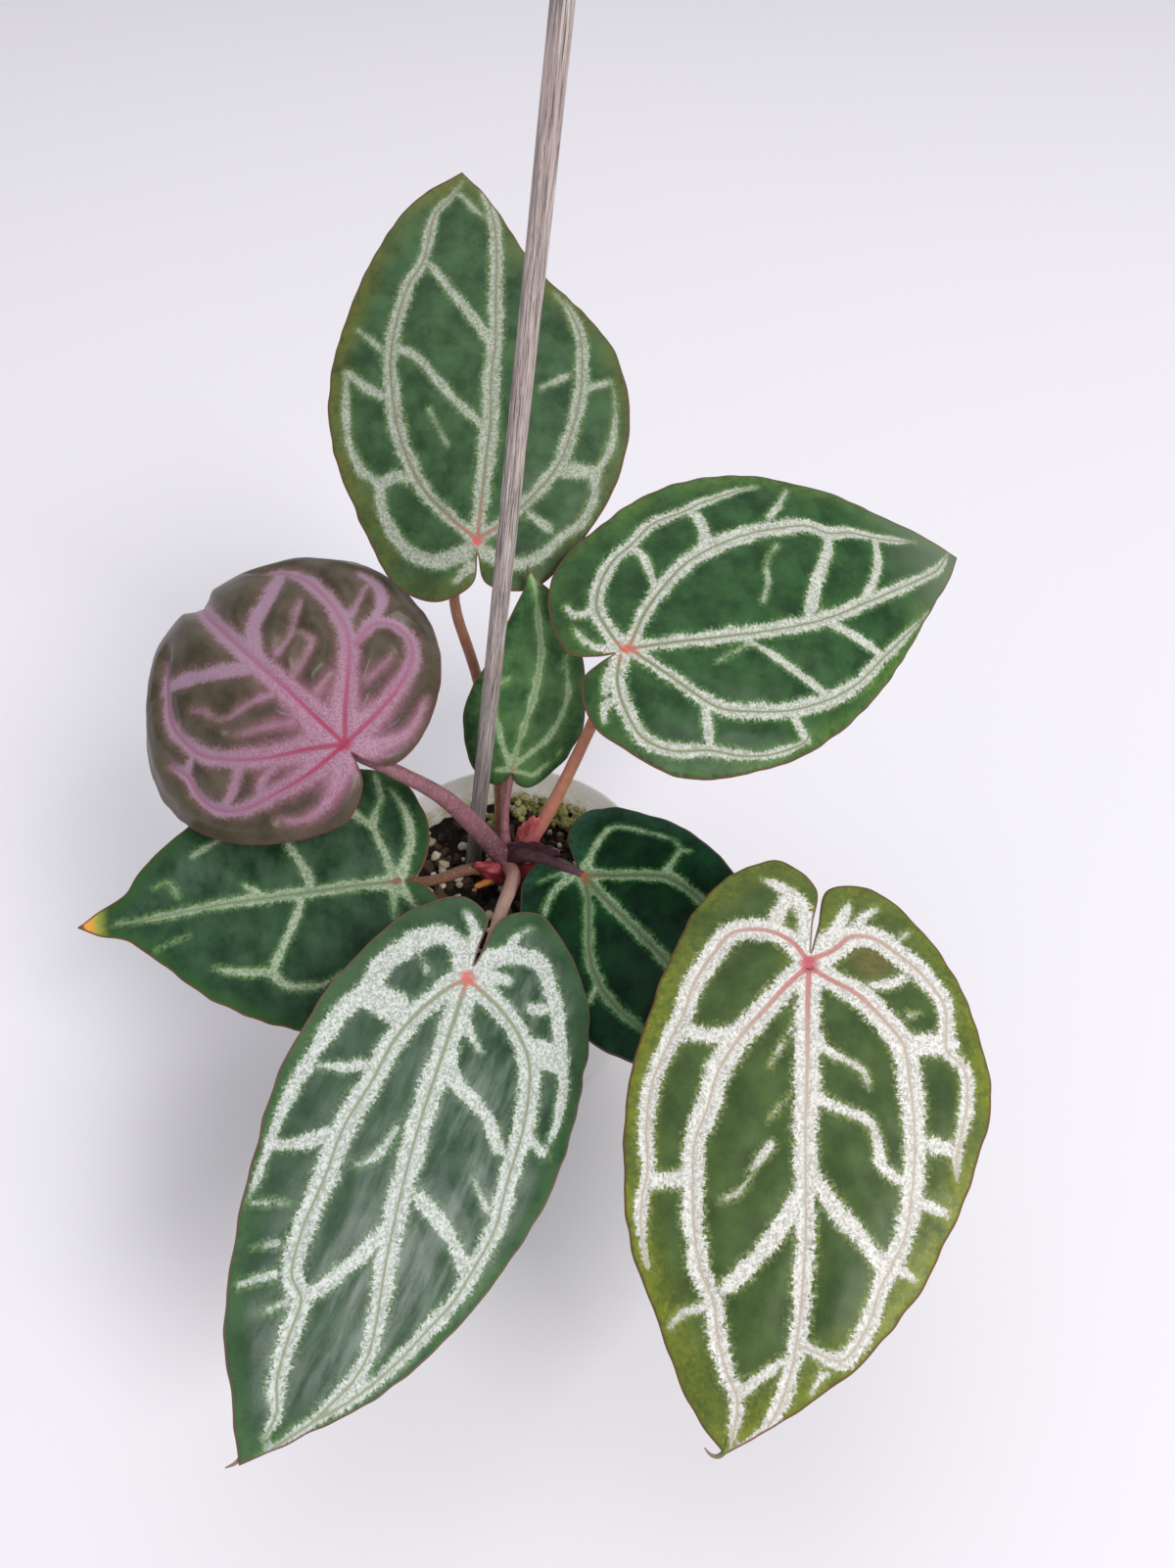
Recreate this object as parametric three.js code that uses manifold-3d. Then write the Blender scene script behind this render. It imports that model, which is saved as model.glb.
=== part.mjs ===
// Potted anthurium hybrid: eight heart-shaped leaves on stalks, a leaning wooden stake
// and a round plastic pot.
// Millimetres, +Z up, origin at the centre of the pot's base, the front of the plant towards -Y.
import * as THREE from 'three';
import { mergeVertices } from 'three/addons/utils/BufferGeometryUtils.js';
import Module from 'manifold-3d';

const wasm = await Module();
wasm.setup();

// Pot
const POT_HEIGHT = 90;
const POT_RIM_RADIUS = 45;
const POT_BASE_RADIUS = 36.5;
const POT_NECK_RADIUS = 43;
const POT_BAND_HEIGHT = 6;
const POT_BAND_SLOPE = 0.8;
const POT_RIM_BEVEL = 0.6;
const POT_BASE_BEVEL = 1;
const POT_WALL = 1.3;
const POT_FLOOR = 2;
const POT_SIDES = 48;

// Potting mix
const SOIL_LEVEL = 78;
const CLEARANCE = 0.3;
const BLADE_SEAT = 0.45;
const CHUNK_COUNT = 64;
const CHUNK_RADIUS_MIN = 1.8;
const CHUNK_RADIUS_MAX = 3.6;
const CHUNK_WALL_MARGIN = 1.0;
const CHUNK_SINK = 0.3;
const CHUNK_SEED = 51;
const CHUNK_ANGLE_SPREAD = 0.5;
const CHUNK_TURN_SPREAD = 3;
const CHUNK_WIDTH_MIN = 0.6;
const CHUNK_HEIGHT_MIN = 0.55;
const CHUNK_STRETCH_SPREAD = 0.3;
const GOLDEN_ANGLE = Math.PI * (3 - Math.sqrt(5));

// Stake
const STAKE_FOOT = [-22.5, 10, 10];
const STAKE_TOP = [23.2, 10, 348];
const STAKE_RADIUS = 2.6;
const STAKE_SIDES = 10;

// Crown: the short stem that carries every stalk, with three papery sheaths grown on it
const CROWN_PATH = [[-2, 5, 62], [-2.5, 4, 80], [-1.5, 2, 90], [-0.5, 1.5, 96]];
const CROWN_RADII = [4.2, 4.6, 4.4, 2.6];
const CROWN_SIDES = 14;
const CROWN_RINGS = 10;
const SHEATH_THICKNESS = 0.8;
const SHEATH_CLEARANCE = 0.9;
const SHEATH_ROWS = 7;
const SHEATH_COLUMNS = 6;
const SHEATH_TAPER = 0.8;
const SHEATH_FLATTENING = 0.55;
const SHEATHS = [
  { foot: [3.5, 6, 84], tip: [12.5, 6, 106], width: 9, hollow: 2.4, facing: [0.6, -0.8, 0.2] },
  { foot: [-4.5, -1, 83], tip: [-10.5, -4, 92.5], width: 8, hollow: 2.0, facing: [-0.1, -1, 0.5] },
  { foot: [3.5, -3, 82], tip: [10.5, -8.5, 94.5], width: 8, hollow: 2.2, facing: [0.3, -1, 0.3] },
];

// Orange tip of an air root and the dull green side shoot beside the crown
const ROOT_PATH = [[-2, -1, 84], [-6.5, -5.5, 86.5], [-11.2, -7.5, 86]];
const ROOT_RADII = [1.25, 1.25, 0.9];
const SHOOT_PATH = [[-0.6, -14, 70], [-0.6, -14.5, 82], [-1.2, -16, 89]];
const SHOOT_RADII = [2, 2, 1.2];
const STUB_SIDES = 10;
const STUB_RINGS = 7;

// Blades
const BLADE_THICKNESS = 0.8;
const RIM_POINTS_PER_HALF = 17;
const RING_COUNT = 6;
const RING_POWER = 0.85;
const WAVE_POWER = 4;
const ARC_STEPS = 24;
const SINUS_DEPTH = 0.03;

// Outlines run from the tip back to the cleft, each point [along the midrib, to the side]
// in shares of length. "length" and "halfWidth" are millimetres; heading, pitch, roll, bend
// and droop are degrees; wave is [height in mm, number of waves round the edge, phase].
const LEAVES = {
  back: {
    junction: [-7.6, 45, 183.6], heading: 93.9, pitch: 42, roll: 0, length: 127.1, halfWidth: 48,
    bend: 16, bendPower: 1, droopLeft: 12, droopRight: 12, wave: [1.1, 7, 0.4],
    left: [[0.9, 0.13], [0.8, 0.2], [0.7, 0.255], [0.55, 0.315], [0.4, 0.347], [0.25, 0.337],
      [0.1, 0.29], [0, 0.25], [-0.1, 0.194], [-0.14, 0.1], [-0.1, 0.014]],
    right: [[0.9, -0.075], [0.8, -0.125], [0.7, -0.19], [0.6, -0.28], [0.5, -0.35], [0.35, -0.388],
      [0.2, -0.365], [0.08, -0.31], [-0.04, -0.22], [-0.12, -0.12], [-0.1, -0.016]],
    stalk: [[-3, 5, 89], [-3.5, 20, 105], [-10.5, 43, 132], [-16.8, 51, 158], [-13.5, 52.5, 175],
      [-7.6, 46, 183]],
    stalkRadii: [2.5, 1.9, 1.8, 1.8, 1.7, 1.5],
    green: 0x2f5a30,
  },
  right: {
    junction: [36.9, 8, 171.4], heading: 22.8, pitch: 8, roll: 28, length: 128.8, halfWidth: 42,
    bend: 30, bendPower: 1, droopLeft: 12, droopRight: 14, wave: [0.9, 6, 1.2],
    left: [[0.93, 0.06], [0.8, 0.16], [0.7, 0.25], [0.6, 0.31], [0.5, 0.355], [0.35, 0.376],
      [0.2, 0.358], [0.08, 0.32], [-0.05, 0.26], [-0.12, 0.16], [-0.12, 0.04], [-0.07, 0.01]],
    right: [[0.92, -0.06], [0.8, -0.13], [0.7, -0.2], [0.55, -0.287], [0.4, -0.344], [0.25, -0.37],
      [0.1, -0.35], [0, -0.316], [-0.08, -0.235], [-0.14, -0.13], [-0.12, -0.03], [-0.07, -0.008]],
    stalk: [[2, 4, 90], [8, 3, 99], [13.2, 4, 109], [26.6, 9, 140.7], [35, 13.5, 163], [36.9, 8.5, 171]],
    stalkRadii: [2.4, 2.3, 2.0, 1.8, 1.7, 1.5],
    green: 0x2f6136,
  },
  inner: {
    junction: [1.6, 14.5, 118.5], heading: 65, pitch: 77, roll: 25.5, length: 67.2, halfWidth: 21,
    bend: 12, bendPower: 1, droopLeft: 14, droopRight: 14, wave: [0.5, 5, 0.2],
    left: [[0.9, 0.004], [0.8, 0.045], [0.7, 0.085], [0.55, 0.143], [0.42, 0.205], [0.3, 0.24],
      [0.15, 0.24], [0, 0.198], [-0.07, 0.145], [-0.1, 0.08], [-0.08, 0.035], [-0.04, 0.008]],
    right: [[0.93, -0.06], [0.88, -0.12], [0.78, -0.2], [0.65, -0.265], [0.5, -0.306], [0.35, -0.322],
      [0.2, -0.31], [0.08, -0.264], [0, -0.206], [-0.07, -0.138], [-0.105, -0.075], [-0.08, -0.02],
      [-0.04, -0.006]],
    stalk: [[-1, 3, 92], [-1.4, 6, 99], [-0.8, 11, 106.5], [0.6, 15.6, 113.5], [1.4, 15.8, 117],
      [1.6, 14.8, 118.3]],
    stalkRadii: [2.1, 1.7, 1.4, 1.3, 1.2, 1.1],
    green: 0x3b7040,
  },
  frontRight: {
    junction: [84, -72, 128.9], heading: -104.5, pitch: -12, roll: 0, length: 118.2, halfWidth: 46,
    bend: 25, bendPower: 1, droopLeft: 14, droopRight: 10, wave: [0.8, 8, 0],
    left: [[0.93, 0.08], [0.8, 0.21], [0.65, 0.31], [0.5, 0.37], [0.35, 0.408], [0.2, 0.426],
      [0.08, 0.395], [-0.06, 0.32], [-0.17, 0.215], [-0.23, 0.1], [-0.2, 0.014], [-0.1, 0.006]],
    right: [[0.94, -0.075], [0.8, -0.174], [0.65, -0.267], [0.5, -0.31], [0.35, -0.335], [0.2, -0.326],
      [0.05, -0.306], [-0.1, -0.27], [-0.2, -0.21], [-0.26, -0.11], [-0.2, -0.012], [-0.1, -0.006]],
    stalk: [[3, -3, 87], [18, -14, 91.5], [45, -36, 94.5], [68, -58, 95], [82, -71, 108],
      [84.5, -74, 121], [84, -72, 128.4]],
    stalkRadii: [2.5, 2.1, 1.9, 1.8, 1.7, 1.7, 1.6],
    green: 0x5d7029,
  },
  frontLeft: {
    junction: [-7.1, -66, 115.4], heading: -108.1, pitch: -5, roll: -22, length: 126.9, halfWidth: 45,
    bend: 25, bendPower: 1, droopLeft: 18, droopRight: 8, wave: [0.9, 7, 2.1],
    left: [[0.93, 0.07], [0.8, 0.188], [0.65, 0.272], [0.5, 0.32], [0.35, 0.348], [0.2, 0.348],
      [0.05, 0.324], [-0.1, 0.27], [-0.2, 0.164], [-0.23, 0.08], [-0.17, 0.014], [-0.08, 0.006]],
    right: [[0.93, -0.05], [0.8, -0.138], [0.65, -0.196], [0.5, -0.236], [0.35, -0.264], [0.2, -0.26],
      [0.05, -0.232], [-0.1, -0.17], [-0.18, -0.085], [-0.16, -0.016], [-0.08, -0.006]],
    stalk: [[0, -2, 90], [2, -10, 94], [-1, -28, 97.5], [-3, -45, 102], [-5.5, -60, 110],
      [-7.1, -66, 115]],
    stalkRadii: [2.6, 2.3, 2.0, 1.9, 1.8, 1.6],
    green: 0x2c5138,
  },
  small: {
    junction: [24.2, -18, 103.9], heading: -63.2, pitch: 2, roll: 14, length: 81.4, halfWidth: 35,
    bend: 20, bendPower: 1, droopLeft: 12, droopRight: 12, wave: [0.8, 6, 0.9],
    left: [[0.9, 0.13], [0.75, 0.28], [0.6, 0.39], [0.45, 0.456], [0.3, 0.484], [0.15, 0.476],
      [0, 0.434], [-0.12, 0.36], [-0.24, 0.25], [-0.285, 0.16], [-0.22, 0.045], [-0.1, 0.008]],
    right: [[0.9, -0.11], [0.75, -0.22], [0.6, -0.304], [0.45, -0.35], [0.3, -0.362], [0.15, -0.34],
      [0.02, -0.29], [-0.1, -0.22], [-0.17, -0.12], [-0.13, -0.04], [-0.07, -0.01]],
    stalk: [[0, 0, 92], [5, -4, 97.5], [12, -9, 101], [20, -15, 102.8], [24.2, -18, 103.6]],
    stalkRadii: [2.4, 2.2, 2.0, 1.6, 1.3],
    green: 0x1d4229,
  },
  left: {
    junction: [-32.3, -24, 107.5], heading: 194.4, pitch: 8, roll: -24, length: 94.2, halfWidth: 38,
    bend: 20, bendPower: 1, droopLeft: 12, droopRight: 14, wave: [0.8, 6, 2.6],
    left: [[0.93, 0.042], [0.85, 0.07], [0.78, 0.125], [0.65, 0.26], [0.5, 0.364], [0.35, 0.43],
      [0.2, 0.45], [0.08, 0.435], [-0.04, 0.36], [-0.13, 0.23], [-0.14, 0.1], [-0.08, 0.016]],
    right: [[0.93, -0.036], [0.85, -0.076], [0.78, -0.165], [0.65, -0.274], [0.5, -0.37], [0.35, -0.425],
      [0.2, -0.44], [0.05, -0.43], [-0.06, -0.375], [-0.12, -0.25], [-0.12, -0.12], [-0.07, -0.016]],
    stalk: [[-4, -1, 88], [-12.5, -5, 92], [-22, -13, 96], [-29, -20.5, 103], [-32.3, -24, 107]],
    stalkRadii: [2.4, 2.0, 1.8, 1.7, 1.5],
    green: 0x295233,
  },
  young: {
    junction: [-43.6, -12, 152.8], heading: 146, pitch: 40, roll: -26, length: 100, halfWidth: 34,
    bend: 107, bendPower: 1.3, droopLeft: 31, droopRight: 28, wave: [0.9, 7, 0.7],
    left: [[0.92, 0.14], [0.78, 0.3], [0.63, 0.43], [0.47, 0.525], [0.3, 0.572], [0.14, 0.557],
      [0.03, 0.5], [-0.07, 0.393], [-0.15, 0.245], [-0.175, 0.13], [-0.12, 0.035], [-0.07, 0.01]],
    right: [[0.92, -0.13], [0.78, -0.3], [0.62, -0.41], [0.46, -0.475], [0.3, -0.5], [0.14, -0.485],
      [0.02, -0.42], [-0.08, -0.3], [-0.135, -0.17], [-0.13, -0.06], [-0.07, -0.012]],
    stalk: [[-2, 0, 92], [-8, -1, 105], [-19, -4.5, 125], [-31, -8.5, 139], [-40, -9, 146],
      [-43.4, -11, 151.8]],
    stalkRadii: [3.4, 3.3, 3.0, 2.5, 2.3, 2.0],
    green: 0x6b4a55,
  },
};
const STALK_SIDES = 10;
const STALK_RINGS = 12;
// Stalks nearest the camera keep their full base; later ones are trimmed round them.
const STALK_ORDER = ['young', 'small', 'frontLeft', 'left', 'right', 'inner', 'back', 'frontRight'];
const STALK_COLOURS = {
  young: 0x8d5b64, small: 0x4b2b38, frontLeft: 0x9a7468, left: 0x9c6a50,
  right: 0xa06448, inner: 0xb0606a, back: 0x96604a, frontRight: 0x8a6a50,
};

// Colour and roughness of the other pieces
const POT_LOOK = [0xe4e2de, 0.35];
const STAKE_LOOK = [0x9a8f8c, 0.55];
const CROWN_LOOK = [0x7d3038, 0.6];
const ROOT_LOOK = [0xc9762f, 0.55];
const SHOOT_LOOK = [0x7c8c72, 0.55];
const MIX_LOOK = [0x4a3b2e, 0.95];
const BLADE_ROUGHNESS = 0.5;
const STALK_ROUGHNESS = 0.55;

// Small seeded random source, so that every build gives the same chunks.
function randomSource(seed) {
  let state = seed >>> 0;
  return () => {
    state = (Math.imul(state, 1664525) + 1013904223) >>> 0;
    return state / 4294967296;
  };
}

function vec(point) {
  return new THREE.Vector3(...point);
}

function indexedGeometry(positions, triangles) {
  const geometry = new THREE.BufferGeometry();
  geometry.setAttribute('position', new THREE.Float32BufferAttribute(positions, 3));
  geometry.setIndex(triangles);
  return geometry;
}

function toSolid(geometry, matrix = new THREE.Matrix4()) {
  const clean = geometry.clone();
  clean.deleteAttribute('normal');
  clean.deleteAttribute('uv');
  clean.applyMatrix4(matrix);
  const merged = mergeVertices(clean, 1e-4);
  return new wasm.Manifold(new wasm.Mesh({
    numProp: 3,
    vertProperties: new Float32Array(merged.attributes.position.array),
    triVerts: new Uint32Array(merged.index.array),
  }));
}

// Solid of a closed mesh, turned inside out where its triangles run clockwise.
function outwardSolid(positions, triangles) {
  const solid = toSolid(indexedGeometry(positions, triangles));
  if (solid.volume() > 0) return solid;
  const flipped = [];
  for (let i = 0; i < triangles.length; i += 3) {
    flipped.push(triangles[i], triangles[i + 2], triangles[i + 1]);
  }
  return toSolid(indexedGeometry(positions, flipped));
}

function toGeometry(solid) {
  const mesh = solid.getMesh();
  const geometry = indexedGeometry(Array.from(mesh.vertProperties), Array.from(mesh.triVerts));
  geometry.computeVertexNormals();
  return geometry;
}

// The biggest body left after a cut; trimmed-off crumbs are dropped.
function biggestBody(solid) {
  const bodies = solid.decompose();
  return bodies.reduce((best, body) => (body.volume() > best.volume() ? body : best));
}

// Round body swept along a smooth path; "grow" makes the larger copy used for cutting clearances.
function sweptBody(points, radii, sides, rings, grow = 0) {
  const curve = new THREE.CatmullRomCurve3(points.map(vec), false, 'centripetal');
  const positions = [];
  const triangles = [];
  const last = radii.length - 1;
  const side = new THREE.Vector3();
  const up = new THREE.Vector3();
  let reference = new THREE.Vector3(0.37, 0.91, 0.19);
  for (let i = 0; i <= rings; i += 1) {
    const t = i / rings;
    const tangent = curve.getTangent(t);
    const centre = curve.getPoint(t);
    if (grow && i === 0) centre.addScaledVector(tangent, -grow);
    if (grow && i === rings) centre.addScaledVector(tangent, grow);
    side.crossVectors(tangent, reference).normalize();
    up.crossVectors(side, tangent).normalize();
    reference = up.clone();
    const slot = Math.min(last - 1, Math.floor(t * last));
    const radius = THREE.MathUtils.lerp(radii[slot], radii[slot + 1], t * last - slot) + grow;
    for (let j = 0; j < sides; j += 1) {
      const angle = (2 * Math.PI * j) / sides;
      const corner = centre.clone();
      corner.addScaledVector(side, radius * Math.cos(angle));
      corner.addScaledVector(up, radius * Math.sin(angle));
      positions.push(corner.x, corner.y, corner.z);
    }
  }
  for (let i = 0; i < rings; i += 1) {
    for (let j = 0; j < sides; j += 1) {
      const next = (j + 1) % sides;
      const a = i * sides + j;
      const b = i * sides + next;
      triangles.push(a, b, b + sides, a, b + sides, a + sides);
    }
  }
  for (let j = 1; j < sides - 1; j += 1) {
    const top = rings * sides;
    triangles.push(0, j + 1, j, top, top + j, top + j + 1);
  }
  return outwardSolid(positions, triangles);
}

// A profile of [radius, height] turned round the upright axis.
function turnedGeometry(profile) {
  const points = profile.map(([radius, height]) => new THREE.Vector2(radius, height));
  return new THREE.LatheGeometry(points, POT_SIDES).rotateX(Math.PI / 2);
}

function potGeometry() {
  const bandFoot = POT_HEIGHT - POT_BAND_HEIGHT;
  const profile = [
    [0, 0], [POT_BASE_RADIUS - POT_BASE_BEVEL, 0], [POT_BASE_RADIUS, POT_BASE_BEVEL],
    [POT_NECK_RADIUS, bandFoot], [POT_RIM_RADIUS, bandFoot + POT_BAND_SLOPE],
    [POT_RIM_RADIUS, POT_HEIGHT - POT_RIM_BEVEL], [POT_RIM_RADIUS - POT_RIM_BEVEL, POT_HEIGHT],
    [POT_RIM_RADIUS - POT_WALL, POT_HEIGHT], [potInnerRadius(bandFoot), bandFoot],
    [potInnerRadius(POT_FLOOR), POT_FLOOR], [0, POT_FLOOR],
  ];
  return turnedGeometry(profile);
}

function potInnerRadius(z) {
  const share = z / (POT_HEIGHT - POT_BAND_HEIGHT);
  return THREE.MathUtils.lerp(POT_BASE_RADIUS, POT_NECK_RADIUS, share) - POT_WALL;
}

// Loose bark and pumice: a plug that fills the pot, with angular chunks standing proud of its top.
function mixSolid(cutters) {
  const random = randomSource(CHUNK_SEED);
  const foot = POT_FLOOR + CLEARANCE;
  const profile = [
    [0, foot], [potInnerRadius(foot) - CLEARANCE, foot],
    [potInnerRadius(SOIL_LEVEL) - CLEARANCE, SOIL_LEVEL], [0, SOIL_LEVEL],
  ];
  let solid = toSolid(turnedGeometry(profile));
  for (let i = 0; i < CHUNK_COUNT; i += 1) {
    const size = THREE.MathUtils.lerp(CHUNK_RADIUS_MIN, CHUNK_RADIUS_MAX, random());
    const reach = potInnerRadius(SOIL_LEVEL) - size - CHUNK_WALL_MARGIN;
    const radius = reach * Math.sqrt((i + 0.5) / CHUNK_COUNT);
    const angle = i * GOLDEN_ANGLE + CHUNK_ANGLE_SPREAD * random();
    const height = SOIL_LEVEL - CHUNK_SINK * size;
    const place = new THREE.Vector3(radius * Math.cos(angle), radius * Math.sin(angle), height);
    const [roll, pitch, heading] = [1, 2, 3].map(() => CHUNK_TURN_SPREAD * random());
    const turn = new THREE.Quaternion().setFromEuler(new THREE.Euler(roll, pitch, heading));
    const width = CHUNK_WIDTH_MIN + CHUNK_STRETCH_SPREAD * random();
    const thickness = CHUNK_HEIGHT_MIN + CHUNK_STRETCH_SPREAD * random();
    const stretch = new THREE.Vector3(size, size * width, size * thickness);
    const chunk = new THREE.IcosahedronGeometry(1, 0);
    solid = solid.add(toSolid(chunk, new THREE.Matrix4().compose(place, turn, stretch)));
  }
  cutters.forEach((cutter) => { solid = solid.subtract(cutter); });
  return biggestBody(solid);
}

// A pointed, hollow scale: a curved strip that narrows to its tip.
function sheathSolid(sheath, grow = 0) {
  const foot = vec(sheath.foot);
  const tip = vec(sheath.tip);
  const along = tip.clone().sub(foot);
  const facing = vec(sheath.facing);
  const across = new THREE.Vector3().crossVectors(along, facing).normalize();
  const out = new THREE.Vector3().crossVectors(across, along).normalize();
  const half = SHEATH_THICKNESS / 2 + grow;
  const positions = [];
  const triangles = [];
  for (let layer = 0; layer < 2; layer += 1) {
    for (let i = 0; i <= SHEATH_ROWS; i += 1) {
      const t = i / SHEATH_ROWS;
      const width = (sheath.width * (1 - SHEATH_TAPER * t * t)) / 2;
      for (let j = 0; j <= SHEATH_COLUMNS; j += 1) {
        const u = ((2 * j) / SHEATH_COLUMNS - 1) * (1 + grow / width);
        const lift = -sheath.hollow * u * u * (1 - SHEATH_FLATTENING * t) + (layer ? half : -half);
        const spare = grow / along.length();
        const point = foot.clone().addScaledVector(along, t * (1 + 2 * spare) - spare);
        point.addScaledVector(across, width * u).addScaledVector(out, lift);
        positions.push(point.x, point.y, point.z);
      }
    }
  }
  const stride = SHEATH_COLUMNS + 1;
  const layerSize = stride * (SHEATH_ROWS + 1);
  const quad = (a, b, c, d) => triangles.push(a, b, c, a, c, d);
  for (let i = 0; i < SHEATH_ROWS; i += 1) {
    for (let j = 0; j < SHEATH_COLUMNS; j += 1) {
      const a = i * stride + j;
      quad(a, a + stride, a + stride + 1, a + 1);
      quad(layerSize + a, layerSize + a + 1, layerSize + a + stride + 1, layerSize + a + stride);
    }
  }
  for (let i = 0; i < SHEATH_ROWS; i += 1) {
    const near = i * stride;
    const far = near + SHEATH_COLUMNS;
    quad(near, near + layerSize, near + layerSize + stride, near + stride);
    quad(far, far + stride, far + stride + layerSize, far + layerSize);
  }
  for (let j = 0; j < SHEATH_COLUMNS; j += 1) {
    const end = SHEATH_ROWS * stride + j;
    quad(j, j + 1, j + 1 + layerSize, j + layerSize);
    quad(end, end + layerSize, end + 1 + layerSize, end + 1);
  }
  return outwardSolid(positions, triangles);
}

// The crown itself, or the larger room cut round it, which needs more round the slanting sheaths.
function crownSolid(stemGrow = 0, sheathGrow = 0) {
  const stem = sweptBody(CROWN_PATH, CROWN_RADII, CROWN_SIDES, CROWN_RINGS, stemGrow);
  return SHEATHS.reduce((body, sheath) => body.add(sheathSolid(sheath, sheathGrow)), stem);
}

// Closed outline of a blade in millimetres: tip, left half back to the cleft, right half up to the tip.
function bladeOutline(leaf) {
  const tip = [1, 0];
  const cleft = [-SINUS_DEPTH, 0];
  const half = (points) => new THREE.CatmullRomCurve3(
    points.map(([s, y]) => new THREE.Vector3(s * leaf.length, y * leaf.length, 0)), false, 'centripetal',
  ).getPoints(RIM_POINTS_PER_HALF);
  const left = half([tip, ...leaf.left, cleft]);
  const right = half([cleft, ...leaf.right.slice().reverse(), tip]);
  return [...left.slice(0, -1), ...right.slice(0, -1)];
}

// Point of the blade in its own frame: x along the midrib, y to its left, z off the upper face.
function bladePoint(leaf, s, y, lift) {
  const bend = THREE.MathUtils.degToRad(leaf.bend);
  const reach = Math.abs(s) / leaf.length;
  let along = 0;
  let drop = 0;
  for (let i = 0; i < ARC_STEPS; i += 1) {
    const angle = bend * (reach * ((i + 0.5) / ARC_STEPS)) ** leaf.bendPower;
    along += (Math.cos(angle) * s) / ARC_STEPS;
    drop += (Math.sin(angle) * Math.abs(s)) / ARC_STEPS;
  }
  const turn = Math.sign(s) * bend * reach ** leaf.bendPower;
  const droop = THREE.MathUtils.degToRad(y >= 0 ? leaf.droopLeft : leaf.droopRight);
  let across = 0;
  let sag = 0;
  for (let i = 0; i < ARC_STEPS; i += 1) {
    const angle = droop * (Math.abs(y) / leaf.halfWidth) * ((i + 0.5) / ARC_STEPS);
    across += (Math.cos(angle) * y) / ARC_STEPS;
    sag += (Math.sin(angle) * Math.abs(y)) / ARC_STEPS;
  }
  const height = lift - sag;
  return new THREE.Vector3(along + height * Math.sin(turn), across, height * Math.cos(turn) - drop);
}

// Leaf blade: rings round the junction out to the edge, alike on both faces, waved towards the edge.
function bladeGeometry(leaf, grow = 0) {
  const outline = bladeOutline(leaf);
  const count = outline.length;
  const half = BLADE_THICKNESS / 2 + grow;
  const [waveHeight, waveCount, wavePhase] = leaf.wave;
  const positions = [];
  const triangles = [];
  [half, -half].forEach((lift) => {
    const centre = bladePoint(leaf, 0, 0, lift);
    positions.push(centre.x, centre.y, centre.z);
    for (let ring = 1; ring <= RING_COUNT; ring += 1) {
      const share = (ring / RING_COUNT) ** RING_POWER;
      outline.forEach((point, i) => {
        const stretch = share * (1 + grow / point.length());
        const angle = Math.atan2(point.y, point.x);
        const swing = Math.sin(waveCount * angle + wavePhase) * Math.cos(angle / 2);
        const wave = waveHeight * share ** WAVE_POWER * swing;
        const place = bladePoint(leaf, point.x * stretch, point.y * stretch, lift + wave);
        positions.push(place.x, place.y, place.z);
      });
    }
  });
  const layer = 1 + RING_COUNT * count;
  for (let i = 0; i < count; i += 1) {
    const next = (i + 1) % count;
    triangles.push(0, 1 + i, 1 + next, layer, layer + 1 + next, layer + 1 + i);
    for (let ring = 0; ring < RING_COUNT - 1; ring += 1) {
      const a = 1 + ring * count + i;
      const b = 1 + ring * count + next;
      triangles.push(a, a + count, b + count, a, b + count, b);
      triangles.push(layer + a, layer + b + count, layer + a + count);
      triangles.push(layer + a, layer + b, layer + b + count);
    }
    const a = 1 + (RING_COUNT - 1) * count + i;
    const b = 1 + (RING_COUNT - 1) * count + next;
    triangles.push(a, layer + a, layer + b, a, layer + b, b);
  }
  return indexedGeometry(positions, triangles);
}

function leafTurn(leaf) {
  const rad = THREE.MathUtils.degToRad;
  return new THREE.Euler(rad(leaf.roll), -rad(leaf.pitch), rad(leaf.heading), 'ZYX');
}

function leafMatrix(leaf) {
  const turn = new THREE.Quaternion().setFromEuler(leafTurn(leaf));
  return new THREE.Matrix4().compose(vec(leaf.junction), turn, new THREE.Vector3(1, 1, 1));
}

function addPart(group, name, geometry, [color, roughness]) {
  const material = new THREE.MeshStandardMaterial({ color, roughness, metalness: 0 });
  const mesh = new THREE.Mesh(geometry, material);
  mesh.name = name;
  group.add(mesh);
  return mesh;
}

function snakeCase(name) {
  return name.replace(/[A-Z]/g, (letter) => `_${letter.toLowerCase()}`);
}

// Trims a swept body round everything already placed and adds it.
// Returns the room that later bodies must leave it.
function addTrimmed(group, name, sweep, cutters, look) {
  let body = sweptBody(...sweep);
  cutters.forEach((cutter) => { body = body.subtract(cutter); });
  addPart(group, name, toGeometry(biggestBody(body)), look);
  return sweptBody(...sweep, CLEARANCE);
}

function addLeaves(group, rooms) {
  STALK_ORDER.forEach((key) => {
    const leaf = LEAVES[key];
    const name = snakeCase(key);
    const bladeLook = [leaf.green, BLADE_ROUGHNESS];
    const blade = addPart(group, `leaf_blade_${name}`, bladeGeometry(leaf), bladeLook);
    blade.position.set(...leaf.junction);
    blade.rotation.copy(leafTurn(leaf));
    const seat = toSolid(bladeGeometry(leaf, BLADE_SEAT), leafMatrix(leaf));
    const sweep = [leaf.stalk, leaf.stalkRadii, STALK_SIDES, STALK_RINGS];
    const stalkLook = [STALK_COLOURS[key], STALK_ROUGHNESS];
    rooms.push(addTrimmed(group, `leaf_stalk_${name}`, sweep, [seat, ...rooms], stalkLook));
  });
}

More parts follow.
